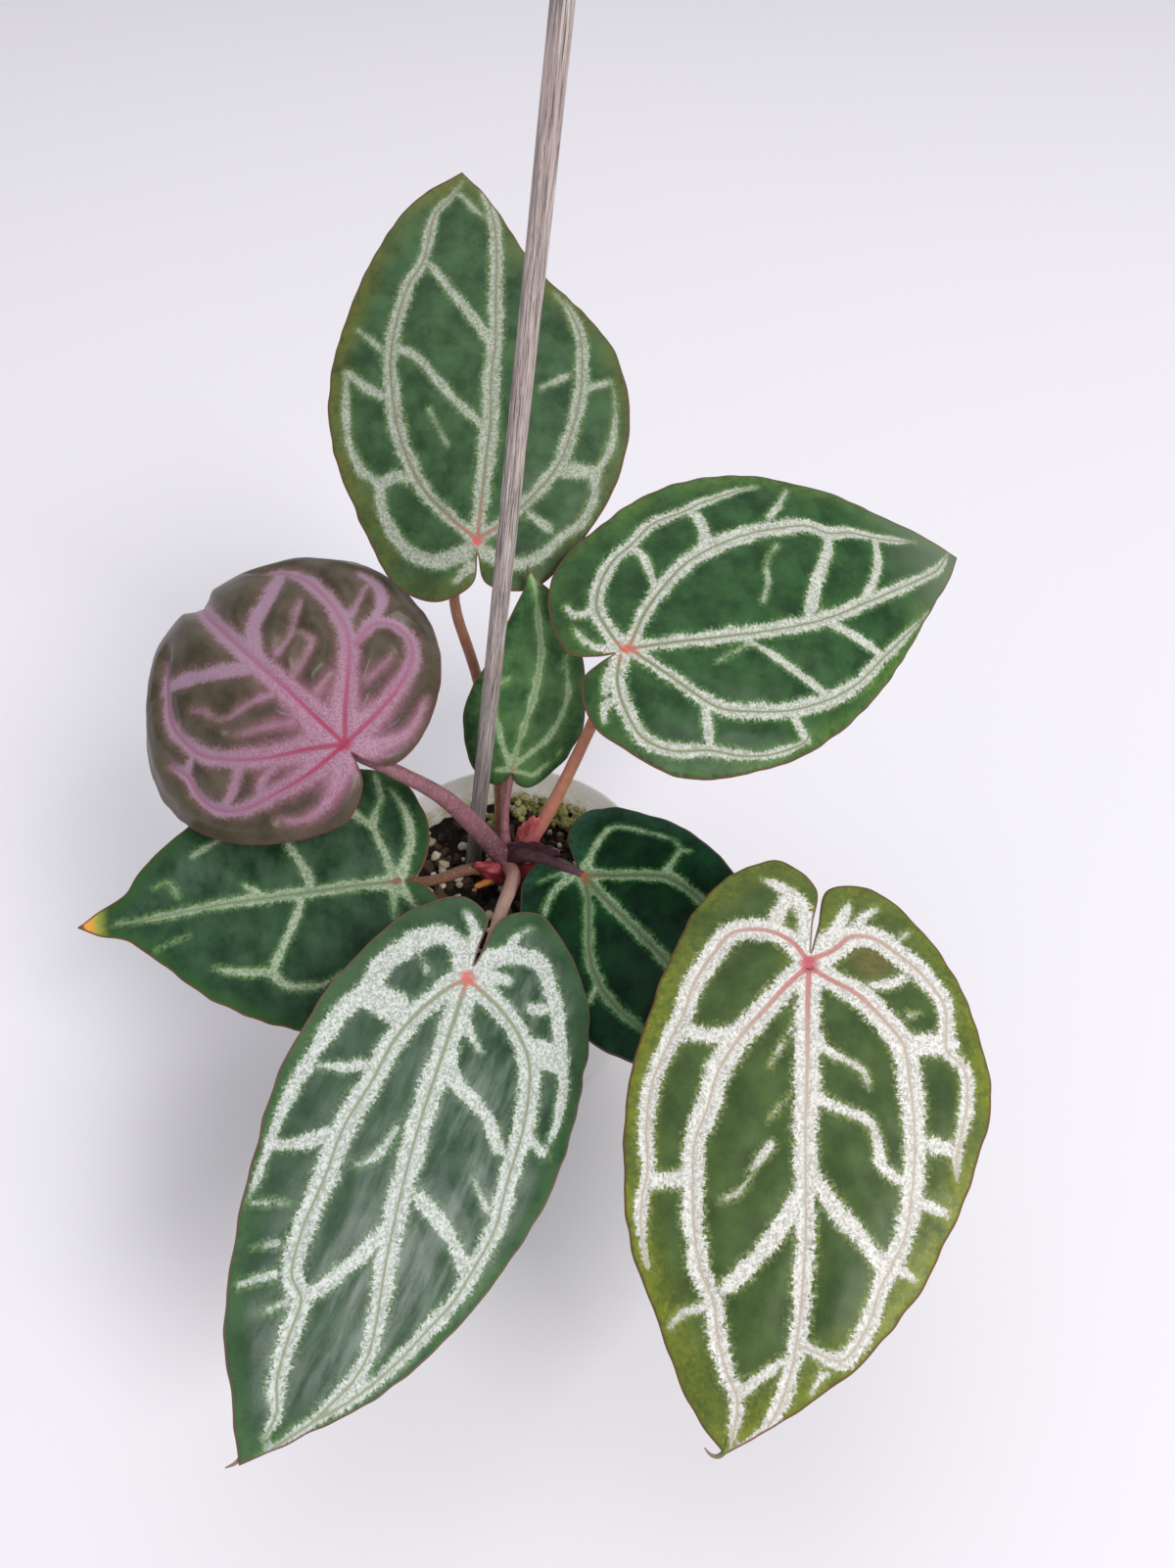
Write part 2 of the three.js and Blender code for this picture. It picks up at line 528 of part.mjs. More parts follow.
function buildPlant() {
  const plant = new THREE.Group();
  plant.name = 'potted_anthurium';
  addPart(plant, 'pot', potGeometry(), POT_LOOK);
  const stake = [[STAKE_FOOT, STAKE_TOP], [STAKE_RADIUS, STAKE_RADIUS], STAKE_SIDES, 1];
  const stakeRoom = addTrimmed(plant, 'stake', stake, [], STAKE_LOOK);
  addPart(plant, 'crown', toGeometry(biggestBody(crownSolid())), CROWN_LOOK);
  const rooms = [crownSolid(CLEARANCE, SHEATH_CLEARANCE)];
  addLeaves(plant, rooms);
  const root = [ROOT_PATH, ROOT_RADII, STUB_SIDES, STUB_RINGS];
  rooms.push(addTrimmed(plant, 'air_root', root, rooms, ROOT_LOOK));
  const shoot = [SHOOT_PATH, SHOOT_RADII, STUB_SIDES, STUB_RINGS];
  rooms.push(addTrimmed(plant, 'side_shoot', shoot, rooms, SHOOT_LOOK));
  addPart(plant, 'potting_mix', toGeometry(mixSolid([stakeRoom, ...rooms])), MIX_LOOK);
  return plant;
}

export default buildPlant();
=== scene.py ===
# Potted anthurium hybrid: fine leaves with silver veins, stalks, crown, bark mix, milky pot and wooden stake.
import math
import random
from types import SimpleNamespace

import bmesh
import bpy
import numpy as np
from mathutils import Euler, Matrix, Vector, noise
from mathutils.geometry import delaunay_2d_cdt


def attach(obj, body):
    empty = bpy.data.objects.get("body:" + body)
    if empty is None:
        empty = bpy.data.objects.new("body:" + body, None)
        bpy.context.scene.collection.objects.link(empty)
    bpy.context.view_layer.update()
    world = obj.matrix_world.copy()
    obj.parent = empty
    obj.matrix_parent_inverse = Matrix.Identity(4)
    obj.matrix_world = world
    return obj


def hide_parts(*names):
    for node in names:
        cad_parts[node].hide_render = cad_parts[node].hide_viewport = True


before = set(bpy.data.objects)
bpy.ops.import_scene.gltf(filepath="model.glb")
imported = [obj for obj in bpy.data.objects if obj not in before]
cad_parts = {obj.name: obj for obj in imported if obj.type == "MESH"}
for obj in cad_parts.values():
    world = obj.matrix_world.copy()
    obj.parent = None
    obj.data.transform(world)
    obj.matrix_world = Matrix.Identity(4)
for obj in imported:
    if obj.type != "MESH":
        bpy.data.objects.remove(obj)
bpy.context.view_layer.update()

# Lengths below are millimetres and angles degrees, as on the real plant; points go to metres at the end.
MM = 0.001
TURN = 2 * math.pi
CURVE_STEPS = 24

# Camera, as it stood for the photograph, in metres
CAMERA_PLACE = (0.0257, -0.2700, 0.3862)
CAMERA_PITCH_DOWN = 44.0
CAMERA_LENS = 28.0
CAMERA_SENSOR = 36.0

# Studio, in metres: half the floor's side, then each lamp's place, aim, size, power and colour
FLOOR_HALF = 6.0
LAMPS = {
    "overhead_panel": ((0.1, 0.6, 2.6), (0, 0, 0), 2.6, 16.0, (1.0, 0.99, 1.0)),
    "side_panel": ((1.7, -1.9, 2.4), (0, 0, 0.1), 1.3, 68.0, (1.0, 0.985, 0.97)),
}
ROOM_COLOUR = (0.90, 0.89, 0.93, 1.0)
ROOM_STRENGTH = 0.57

# Pot
POT_HEIGHT = 90.0
POT_RIM_RADIUS = 45.0
POT_BASE_RADIUS = 36.5
POT_NECK_RADIUS = 43.0
POT_BAND_FOOT = 84.0
POT_WALL = 1.3
POT_FLOOR = 2.0
POT_FOOT_RISE = 0.8
POT_SIDES = 128
POT_SIDE_ROWS = 10
POT_TAPER = (POT_NECK_RADIUS - POT_BASE_RADIUS) / POT_BAND_FOOT

# Potting mix
SOIL_LEVEL = 78.0
SOIL_GAP = 0.3
SOIL_SIDES = 110
SOIL_ROWS = 36
MIX_SEED = 51
GOLDEN_ANGLE = math.pi * (3.0 - math.sqrt(5.0))
MIX_RADIUS = POT_BASE_RADIUS + POT_TAPER * SOIL_LEVEL - POT_WALL
BARK_COUNT = 300

# Loose lumps as (count, sizes, stretch across, stretch upwards, flat cuts, roughness)
LUMPS = {
    "mix_bark": (BARK_COUNT, (2.0, 4.2), (0.5, 0.8), (0.35, 0.6), 7, 0.16),
    "mix_pumice": (150, (0.9, 2.3), (0.75, 1.0), (0.7, 0.95), 5, 0.3),
    "mix_moss": (170, (0.6, 1.5), (0.7, 1.0), (0.8, 1.2), 0, 0.8),
}

# Swept pieces
PATH_STEP = 0.5
FIRST_UP = (0.37, 0.91, 0.19)
STALK_SIDES = 24

# Stake
STAKE_PATH = [(-22.5, 10.0, 10.0), (23.2, 10.0, 348.0)]
STAKE_RADIUS = 2.6
STAKE_SIDES = 40
STAKE_RINGS = 180

# Crown, and its papery sheaths as (foot, tip, facing, width, hollow, skin)
CROWN_PATH = [(-2, 5, 62), (-2.5, 4, 80), (-1.5, 2, 90), (-0.5, 1.5, 96)]
CROWN_RADII = [4.2, 4.6, 4.4, 2.6]
CROWN_SIDES = 40
CROWN_RINGS = 44
SHEATHS = [
    ((3.5, 6, 84), (12.5, 6, 106), (0.6, -0.8, 0.2), 9, 2.4, "red"),
    ((-4.5, -1, 83), (-10.5, -4, 92.5), (-0.1, -1, 0.5), 8, 2.0, "red"),
    ((3.5, -3, 82), (10.5, -8.5, 94.5), (0.3, -1, 0.3), 8, 2.2, "red"),
    ((3.8, 2.5, 92), (9.2, 1.5, 109), (-0.4, -0.9, 0.2), 9, 2.2, "pink"),
    ((0, -5, 87), (-10.5, -6.5, 95.5), (-0.1, -1, 0.6), 8, 2.2, "red"),
    ((0.5, -6, 85), (10.5, -8, 96), (0.2, -1, 0.6), 9, 2.4, "red"),
    ((-1.5, 0.5, 95), (17, -9.5, 105.2), (0.1, -0.5, 1), 8, 1.6, "purple"),
]
SHEATH_ROWS, SHEATH_COLUMNS = 26, 18
SHEATH_TAPER = 0.8
SHEATH_FLATTENING = 0.55
SHEATH_THICKNESS = 0.5
SHEATH_CRUMPLE = 0.7

# Air root and side shoot
ROOT_PATH = [(-2, -1, 84), (-6.5, -5.5, 86.5), (-11.2, -7.5, 86)]
ROOT_RADII = [1.25, 1.25, 0.9]
SHOOT_PATH = [(-0.6, -14, 70), (-0.6, -14.5, 82), (-1.2, -16, 89)]
SHOOT_RADII = [2.0, 2.0, 1.2]
STUB_SIDES, STUB_RINGS = 24, 48

# Blades
BLADE_THICKNESS = 0.6
RIM_BULGE = 0.12
OUTLINE_STEP = 0.8
GRID_STEP = 1.15
CORD_STEP = 0.9
CORD_SHOULDER = 0.75
ARC_STEPS = 24
TIP, CLEFT = (100, 0), (-3, 0)
FAR = 99.0
VEIN_OFFSET = 37.0
SCALLOP_SCALE, SCALLOP_HEIGHT = 0.17, 0.7
RIPPLE_SCALE, RIPPLE_HEIGHT = 0.11, 0.35
GROOVE_WIDTH, RIB_HEIGHT = 0.9, 0.7

# Each leaf's place and curve are the solids' own. "left" and "right" are the outline's halves from the tip
# back to the cleft, each point (along the midrib, to the left) in percent of the leaf's length. "wave" is the
# edge's height, count and phase, "teeth" how ragged the silver is, "puff" the rise between veins and
# "puff_reach" how far from them it is full. The stalk's colours are its foot's, middle's and top's, and
# "specks" is how strongly it is dusted.
LEAVES = {
    "back": {
        "junction": (-7.6, 45, 183.6), "heading": 93.9, "pitch": 42, "roll": 0, "length": 127.1,
        "half_width": 48, "bend": 16, "droop": (12, 12), "wave": (1.1, 7, 0.4), "teeth": 1.3, "puff": 0.5,
        "left": [(90, 13), (80, 20), (70, 25.5), (55, 31.5), (40, 34.7), (25, 33.7), (10, 29), (0, 25),
            (-10, 19.4), (-14, 10), (-10, 1.4)],
        "right": [(90, -7.5), (80, -12.5), (70, -19), (60, -28), (50, -35), (35, -38.8), (20, -36.5),
            (8, -31), (-4, -22), (-12, -12), (-10, -1.6)],
        "stalk": [(-3, 5, 89), (-3.5, 20, 105), (-10.5, 43, 132), (-16.8, 51, 158), (-13.5, 52.5, 175),
            (-7.6, 46, 183)],
        "stalk_radii": [2.5, 1.9, 1.8, 1.8, 1.7, 1.5], "stalk_slot": "stalk_brown",
        "stalk_colours": ("#8f5a45", "#a36b54", "#8a6650"), "specks": 0.5,
    },
    "right": {
        "junction": (36.9, 8, 171.4), "heading": 22.8, "pitch": 8, "roll": 28, "length": 128.8,
        "half_width": 42, "bend": 30, "droop": (12, 14), "wave": (0.9, 6, 1.2), "teeth": 1.5, "puff": 0.5,
        "left": [(93, 6), (80, 16), (70, 25), (60, 31), (50, 35.5), (35, 37.6), (20, 35.8), (8, 32),
            (-5, 26), (-12, 16), (-12, 4), (-7, 1)],
        "right": [(92, -6), (80, -13), (70, -20), (55, -28.7), (40, -34.4), (25, -37), (10, -35),
            (0, -31.6), (-8, -23.5), (-14, -13), (-12, -3), (-7, -0.8)],
        "stalk": [(2, 4, 90), (8, 3, 99), (13.2, 4, 109), (26.6, 9, 140.7), (35, 13.5, 163),
            (36.9, 8.5, 171)],
        "stalk_radii": [2.4, 2.3, 2, 1.8, 1.7, 1.5], "stalk_slot": "stalk_brown",
        # The darker top colour of this stalk is painted shade.
        "stalk_colours": ("#b2535d", "#c68866", "#90634a"), "specks": 0.5,
    },
    "inner": {
        "junction": (1.6, 14.5, 118.5), "heading": 65, "pitch": 77, "roll": 25.5, "length": 67.2,
        "half_width": 21, "bend": 12, "droop": (14, 14), "wave": (0.5, 5, 0.2), "teeth": 0.7, "puff": 0.3,
        "left": [(90, 0.4), (80, 4.5), (70, 8.5), (55, 14.3), (42, 20.5), (30, 24), (15, 24), (0, 19.8),
            (-7, 14.5), (-10, 8), (-8, 3.5), (-4, 0.8)],
        "right": [(93, -6), (88, -12), (78, -20), (65, -26.5), (50, -30.6), (35, -32.2), (20, -31),
            (8, -26.4), (0, -20.6), (-7, -13.8), (-10.5, -7.5), (-8, -2), (-4, -0.6)],
        "stalk": [(-1, 3, 92), (-1.4, 6, 99), (-0.8, 11, 106.5), (0.6, 15.6, 113.5), (1.4, 15.8, 117),
            (1.6, 14.8, 118.3)],
        "stalk_radii": [2.1, 1.7, 1.4, 1.3, 1.2, 1.1], "stalk_slot": "stalk_mauve",
        "stalk_colours": ("#6b3c49", "#8a5560", "#c09a8c"), "specks": 0.5,
    },
    "front_right": {
        "junction": (84, -72, 128.9), "heading": -104.5, "pitch": -12, "roll": 0, "length": 118.2,
        "half_width": 46, "bend": 25, "droop": (14, 10), "wave": (0.8, 8, 0), "teeth": 1.6, "puff": 0.7,
        "left": [(93, 8), (80, 21), (65, 31), (50, 37), (35, 40.8), (20, 42.6), (8, 39.5), (-6, 32),
            (-17, 21.5), (-23, 10), (-20, 1.4), (-10, 0.6)],
        "right": [(94, -7.5), (80, -17.4), (65, -26.7), (50, -31), (35, -33.5), (20, -32.6), (5, -30.6),
            (-10, -27), (-20, -21), (-26, -11), (-20, -1.2), (-10, -0.6)],
        "stalk": [(3, -3, 87), (18, -14, 91.5), (45, -36, 94.5), (68, -58, 95), (82, -71, 108),
            (84.5, -74, 121), (84, -72, 128.4)],
        "stalk_radii": [2.5, 2.1, 1.9, 1.8, 1.7, 1.7, 1.6], "stalk_slot": "stalk_brown",
        "stalk_colours": ("#7a5540", "#93705a", "#6f2f35"), "specks": 0.5,
    },
    "front_left": {
        "junction": (-7.1, -66, 115.4), "heading": -108.1, "pitch": -5, "roll": -22, "length": 126.9,
        "half_width": 45, "bend": 25, "droop": (18, 8), "wave": (0.9, 7, 2.1), "teeth": 1.6, "puff": 0.6,
        "left": [(93, 7), (80, 18.8), (65, 27.2), (50, 32), (35, 34.8), (20, 34.8), (5, 32.4), (-10, 27),
            (-20, 16.4), (-23, 8), (-17, 1.4), (-8, 0.6)],
        "right": [(93, -5), (80, -13.8), (65, -19.6), (50, -23.6), (35, -26.4), (20, -26), (5, -23.2),
            (-10, -17), (-18, -8.5), (-16, -1.6), (-8, -0.6)],
        "stalk": [(0, -2, 90), (2, -10, 94), (-1, -28, 97.5), (-3, -45, 102), (-5.5, -60, 110),
            (-7.1, -66, 115)],
        "stalk_radii": [2.6, 2.3, 2, 1.9, 1.8, 1.6], "stalk_slot": "stalk_brown",
        "stalk_colours": ("#986e66", "#b59486", "#ab9482"), "specks": 0.4,
    },
    "small": {
        "junction": (24.2, -18, 103.9), "heading": -63.2, "pitch": 2, "roll": 14, "length": 81.4,
        "half_width": 35, "bend": 20, "droop": (12, 12), "wave": (0.8, 6, 0.9), "teeth": 1, "puff": 0.4,
        "left": [(90, 13), (75, 28), (60, 39), (45, 45.6), (30, 48.4), (15, 47.6), (0, 43.4), (-12, 36),
            (-24, 25), (-28.5, 16), (-22, 4.5), (-10, 0.8)],
        "right": [(90, -11), (75, -22), (60, -30.4), (45, -35), (30, -36.2), (15, -34), (2, -29),
            (-10, -22), (-17, -12), (-13, -4), (-7, -1)],
        "stalk": [(0, 0, 92), (5, -4, 97.5), (12, -9, 101), (20, -15, 102.8), (24.2, -18, 103.6)],
        "stalk_radii": [2.4, 2.2, 2, 1.6, 1.3], "stalk_slot": "stalk_dark",
        "stalk_colours": ("#2c1722", "#452632", "#553a42"), "specks": 0.15,
    },
    "left": {
        "junction": (-32.3, -24, 107.5), "heading": 194.4, "pitch": 8, "roll": -24, "length": 94.2,
        "half_width": 38, "bend": 20, "droop": (12, 14), "wave": (0.8, 6, 2.6), "teeth": 1.2, "puff": 0.5,
        "left": [(93, 4.2), (85, 7), (78, 12.5), (65, 26), (50, 36.4), (35, 43), (20, 45), (8, 43.5),
            (-4, 36), (-13, 23), (-14, 10), (-8, 1.6)],
        "right": [(93, -3.6), (85, -7.6), (78, -16.5), (65, -27.4), (50, -37), (35, -42.5), (20, -44),
            (5, -43), (-6, -37.5), (-12, -25), (-12, -12), (-7, -1.6)],
        "stalk": [(-4, -1, 88), (-12.5, -5, 92), (-22, -13, 96), (-29, -20.5, 103), (-32.3, -24, 107)],
        "stalk_radii": [2.4, 2, 1.8, 1.7, 1.5], "stalk_slot": "stalk_brown",
        "stalk_colours": ("#6a3c2c", "#765240", "#82654a"), "specks": 0.5,
    },
    "young": {
        "junction": (-43.6, -12, 152.8), "heading": 146, "pitch": 40, "roll": -26, "length": 100,
        "half_width": 34, "bend": 107, "bend_power": 1.3, "droop": (31, 28), "wave": (0.9, 7, 0.7),
        "teeth": 1.2, "puff": 2.4, "puff_reach": 4.5,
        "left": [(92, 14), (78, 30), (63, 43), (47, 52.5), (30, 57.2), (14, 55.7), (3, 50), (-7, 39.3),
            (-15, 24.5), (-17.5, 13), (-12, 3.5), (-7, 1)],
        "right": [(92, -13), (78, -30), (62, -41), (46, -47.5), (30, -50), (14, -48.5), (2, -42), (-8, -30),
            (-13.5, -17), (-13, -6), (-7, -1.2)],
        "stalk": [(-2, 0, 92), (-8, -1, 105), (-19, -4.5, 125), (-31, -8.5, 139), (-40, -9, 146),
            (-43.4, -11, 151.8)],
        "stalk_radii": [3.4, 3.3, 3, 2.5, 2.3, 2], "stalk_slot": "stalk_mauve",
        "stalk_colours": ("#63404a", "#8f5f68", "#9c6374"), "specks": 0.7,
    },
}

# Silver bands of each leaf: half-widths in mm, evenly spaced from the band's start to its end, and its
# middle line in percent of the leaf's length. Mains also have a thin cord in a groove down their middle.
VEINS = {
    "back": {
        "mains": [
            ((1.8, 2.7, 2.2, 1.9, 1.2), [(0, 0), (10, -1.5), (20, -3), (30, -4.5), (40, -5), (50, -6.5),
                (60, -7), (70, -7.5), (80, -7.8), (90, -6.5), (97, -4), (99, -1)]),
            ((1.6, 2.2, 2.2, 1.7, 0.9), [(0.5, 0), (6, 6), (13, 12), (22, 16), (30, 18), (40, 19), (48, 19),
                (58, 17), (67, 14), (73, 10.5), (79, 9), (87, 7), (92, 3), (97, 0)]),
            ((1.6, 2, 2, 1.2), [(0.5, 0), (4, -6), (10, -13), (18, -20), (27, -24), (36, -26.5),
                (45, -27.5), (52, -27.5), (59, -25.5), (64, -22)]),
        ],
        "veins": [
            ((1.2, 1.1), [(27, -4), (33, 2), (40, 7.5), (46.5, 12.5), (50, 18)]),
            ((1.7, 1.2), [(51, -5), (59, 0), (66, 5), (72.5, 9)]),
            ((0.7, 0.5), [(93, 1), (87, -4), (85, -7)]),
            ((2.4, 1.8, 1.5, 1.2, 0.8), [(-3, 3), (-4.5, 11), (-2, 16), (3, 20), (10, 22.5), (15, 23),
                (19, 27), (25, 29.5), (35, 30.5), (45, 30)]),
            ((1.9, 1.6), [(15, 23), (17, 18), (16, 15)]),
            ((0.9, 1.5), [(45, 30), (40, 25), (37, 21)]),
            ((0.3, 1), [(56, 27), (49.5, 21)]),
            ((2, 1.4, 1.3, 0.9, 0.4), [(-3, -2), (-6, -9), (-4, -15), (0.5, -20), (4, -25), (10, -28.5),
                (16, -29.5), (22, -33), (30, -35), (40, -35)]),
            ((2.2, 2), [(17, -21), (16.5, -29.5)]),
            ((1.3, 1), [(6, -13), (2, -18)]),
            ((1, 0.5), [(38, -28), (40, -35)]),
            ((0.5, 1), [(38, -17), (41.5, -24)]),
            ((2, 0.6), [(-6, 2), (-10, 6)]),
            ((0.35, 0.25), [(33, 10), (28, 8), (24, 6)]),
        ],
    },
    "right": {
        "mains": [
            ((1.5, 2.2, 2.2, 1.8, 1.2), [(0, 0), (10, -2.2), (20, -4.5), (30, -6.5), (40, -7.8), (50, -8.2),
                (60, -7.2), (70, -6), (80, -4.5), (90, -2.5), (98, 2)]),
            ((1.4, 2.4, 2.9, 2.3, 0.5), [(0.5, 0), (8, 7), (15, 11.5), (22, 15), (30, 17), (40, 18),
                (50, 17.5), (58, 16), (62, 13), (68, 12), (75, 9), (80, 7.5), (88, 6)]),
            ((1.4, 2.1, 2.3, 1.8, 0.4), [(0.5, 0), (5, -7), (10, -15), (14, -20), (20, -23), (30, -26),
                (40, -26.5), (45, -26), (50, -25), (60, -21), (65, -19), (75, -15), (80, -13)]),
            ((2.4, 2, 1.8, 1.5, 0.5), [(-1, 0), (-2, 6), (-2, 12), (2, 18), (7, 22), (12, 24), (20, 28),
                (30, 29), (34, 30), (40, 30.5), (45, 31), (52, 31)]),
            ((2.2, 2.1, 1.8, 1.3, 0.7), [(-2, -1), (-5, -6), (-6, -12), (-5, -20), (0, -25), (8, -28),
                (15, -32), (22, -34), (30, -34), (32, -33)]),
        ],
        "veins": [
            ((1.4, 1.2), [(60, -7.2), (66, -3), (71, 2), (74.5, 9)]),
            ((2, 1.5), [(45, -6), (50, 0), (55, 5), (60, 10), (61, 13)]),
            ((1.1, 0.3), [(49, 21), (55, 25), (59, 28)]),
            ((1.1, 0.6), [(12, 24), (13.5, 20), (13, 15), (12, 10)]),
            ((1.8, 1.6), [(30, 29), (31, 25), (30, 20), (28, 17)]),
            ((1.4, 1.3), [(48, -8.5), (55, -15), (60, -21)]),
            ((0.7, 1.3), [(26, -6), (33, -15), (38, -22), (41, -26.2)]),
            ((1.4, 1.3), [(30, -27), (31.5, -34.5)]),
            ((1.3, 1.2), [(12, -17), (10, -22), (8, -28.5)]),
            ((1.7, 1.2, 0.8), [(-1, -0.5), (-4, -2.5), (-7, -5), (-9, -8)]),
            ((0.9, 1.1, 0.5), [(-5.5, -10), (-8.5, -10), (-10, -10.5), (-11.8, -14)]),
            ((1.3, 1.2, 0.8), [(-2, 12), (-5, 11.5), (-7.5, 12.5), (-8.2, 15)]),
            ((1.5, 1, 0.6), [(-2, 1), (-5.5, 2.5), (-7.8, 5), (-9, 9)]),
            ((0.3, 0.5), [(46, 13), (41, 9), (38.5, 4), (35, 0)]),
            ((0.3, 0.2), [(18, -10), (27, -8.5), (34, -6.5)]),
        ],
    },
    "inner": {
        "mains": [
            ((0.6, 0.8, 1, 1.2, 1, 1.2, 0.8, 0.5, 0.3), [(0, 0), (10, -1.4), (19, -3.2), (28, -5.3),
                (37, -7), (46, -8.5), (55, -9.3), (62, -9), (70, -7.7), (80, -6), (90, -4.1), (98, -1)]),
        ],
        "veins": [
            ((0.5, 0.9, 1.1, 0.7, 0.7, 0.4), [(0.5, 0), (5.5, -4.5), (10, -8.6), (14.5, -13.2), (19, -16.4),
                (28, -20.6), (37, -23), (42, -23.4), (52, -22), (59, -21.5)]),
            ((0.4, 0.5), [(59, -21.3), (53, -18.8)]),
            ((0.6, 0.8, 0.5), [(0.5, 0), (5.5, 2.3), (10, 4.5), (18, 6.8), (30, 10), (42, 10)]),
            ((0.4, 0.5), [(42, 10), (47.5, 4.5)]),
            ((0.5, 0.6, 0.3), [(-1, -1), (-2.2, -6), (-3.2, -10), (1, -14), (4.5, -18.4)]),
            ((0.3, 0.4), [(8, -21.3), (12, -22.5)]),
            ((0.5, 0.4), [(-0.5, 1), (-1.5, 8)]),
        ],
    },
    "front_right": {
        "mains": [
            ((3, 3, 2.4, 1.9, 1.2), [(0, 0), (12, 1.5), (22, 3), (35, 4.7), (46, 6.5), (56, 8.2), (66, 9.3),
                (75, 9.9), (83, 9.7), (91, 8), (96, 5), (99, 1)]),
            ((2.8, 3.4, 2.5, 2.1, 1.6), [(0.5, 0), (2.5, 5), (4.5, 11), (8.5, 17), (13.5, 22.5), (20, 24.5),
                (28, 26.5), (36, 27.8), (44, 28.2), (52, 28), (59, 26), (63, 24.5), (71, 23), (78, 19),
                (77.5, 13), (77, 10)]),
            ((2.8, 3.2, 2.5, 2.3, 1.4), [(0.5, 0), (6, -4), (13, -8), (20, -12), (28, -15), (36, -15.8),
                (44, -17), (51, -16), (60, -14), (68, -11), (73, -7.5), (80, -5), (86, -2), (89, 0.3),
                (95, 1), (98, 0.5)]),
            ((3, 3.4, 2.2, 1.7, 0.9), [(-1, 0), (-5, 5), (-9, 8), (-10, 13), (-7, 20), (-3, 26), (2, 30.5),
                (8, 31.5), (12, 32), (15, 36), (22, 37.5), (29, 37), (34, 36.5), (39, 37)]),
            ((2.6, 3, 2.3, 1.8, 1), [(-1, -0.5), (-5, -5), (-6.5, -11), (-4.5, -18), (1, -21), (9, -24),
                (17, -25), (25, -27), (34, -28.5), (44, -27.5), (52, -25.5), (58, -25.5), (66, -23.5),
                (70, -21.5)]),
        ],
        "veins": [
            ((2.6, 3), [(11, 32), (13.5, 23)]),
            ((1.3, 2), [(33, 37), (33, 30)]),
            ((0.9, 1.5), [(46, 35.5), (45, 30)]),
            ((0.5, 1.4), [(60, 31), (58.5, 26)]),
            ((2, 1.7), [(44, 6.5), (50, 13), (54.5, 19), (59.5, 25)]),
            ((1.6, 0.8, 1.4), [(29, 5), (30.5, 11), (31.5, 17), (36, 20), (40, 21.5), (42, 26.5)]),
            ((1.8, 0.8, 0.3), [(15, 3), (18.5, 6), (20, 11), (21.5, 15), (25, 16.5)]),
            ((1.2, 0.4), [(81, 16), (85, 14)]),
            ((1, 0.9), [(81, 7.5), (86, 3), (89, 0.5)]),
            ((2, 1.6), [(50, 6), (58, 2.5), (64, -1), (71, -6)]),
            ((2.2, 2), [(20, -14), (21, -20), (21, -25)]),
            ((2.2, 1.4), [(51, -17), (53, -22), (54, -25)]),
            ((1, 0.4), [(74, -8), (77, -13), (80, -15)]),
            ((0.9, 0.4, 0.5), [(41, -1.5), (46, -4), (51, -6), (54, -9.5)]),
            ((0.4, 0.2), [(31, 0), (36, -3)]),
            ((0.6, 0.2), [(16, -1.5), (25, -4.5)]),
            ((2, 2.2, 0.8), [(-3, -2), (-10, -2), (-16, -5), (-19, -10), (-20, -14)]),
            ((2, 1.8), [(-7, -9), (-12, -8.5), (-17, -7)]),
            ((2.4, 0.8), [(-5, 2), (-11, 5), (-18, 7)]),
            ((2.2, 0.6), [(-10, 9), (-14, 10), (-18, 13)]),
            ((0.8, 0.3), [(-9, 17), (-14, 21)]),
            ((1.2, 1.1), [(-2, 21), (0.5, 18), (2, 14)]),
            ((0.6, 0.3), [(6.5, 23), (5.5, 25)]),
        ],
    },
    "front_left": {
        "mains": [
            ((3.4, 3.2, 2.9, 2, 0.8), [(0, 0), (10, 1), (20, 2), (30, 3), (40, 4.5), (50, 6.5), (60, 9),
                (70, 12), (75, 13), (80, 12.5), (85, 10.5), (90, 8), (98, 2)]),
            ((2.6, 2.8, 2.9, 2.4, 1.6), [(0.5, 0), (3.5, -2.5), (8.5, -5), (13, -6.8), (20, -8.5), (30, -9),
                (40, -10), (50, -9), (60, -8.5), (68, -6.5), (71, -3), (78, -2), (85, -0.5), (90, 2),
                (94, 2)]),
            ((2.8, 3.2, 2.4, 1.6, 0.6), [(0.5, 0), (1.8, 5), (3.5, 10), (6.5, 15), (9.5, 18.5),
                (12.5, 20.5), (18.5, 22.5), (25, 24), (35, 25), (45, 26.5), (54, 25.5), (60, 24.5),
                (67, 21.8), (74, 19), (82, 14.5), (90, 8), (96, 3.5)]),
        ],
        "veins": [
            ((1.8, 1.6), [(54, 6), (60, 3.5), (67, 0), (71, -3)]),
            ((0.8, 0.3), [(72, -5), (75.5, -8)]),
            ((0.9, 0.3), [(69, -9.5), (73.5, -15)]),
            ((1.8, 1.2), [(42, -12), (46, -16), (48.5, -21)]),
            ((2.2, 3, 2.3, 1.4, 0.6), [(-2, -2), (-5, -4), (-7, -8), (-4.5, -12), (0, -15), (5, -17.5),
                (11, -18), (21, -21), (30, -22), (40, -22.5), (50, -21.2), (60, -20)]),
            ((4.4, 4), [(13.5, -12), (13, -17)]),
            ((1.6, 0.8), [(27, -12), (29, -15), (31, -20)]),
            ((2.6, 2, 0.6), [(-3, -1.5), (-10, -2), (-13, -4.5), (-14.5, -6.5)]),
            ((1.9, 1.5), [(46, 9), (48, 15), (51, 20), (54, 24)]),
            ((2.2, 1.8, 1.2), [(17, 3), (21, 5), (24, 11), (26, 16), (30, 20), (31, 22.5)]),
            ((2.4, 2.8, 2.2, 1.6, 0.8), [(-2, 1), (-6, 2.5), (-10.5, 8), (-11.5, 13), (-6.5, 18.5),
                (-2, 21.5), (1.5, 23.7), (6, 26), (12, 29), (20, 30.5), (27, 30)]),
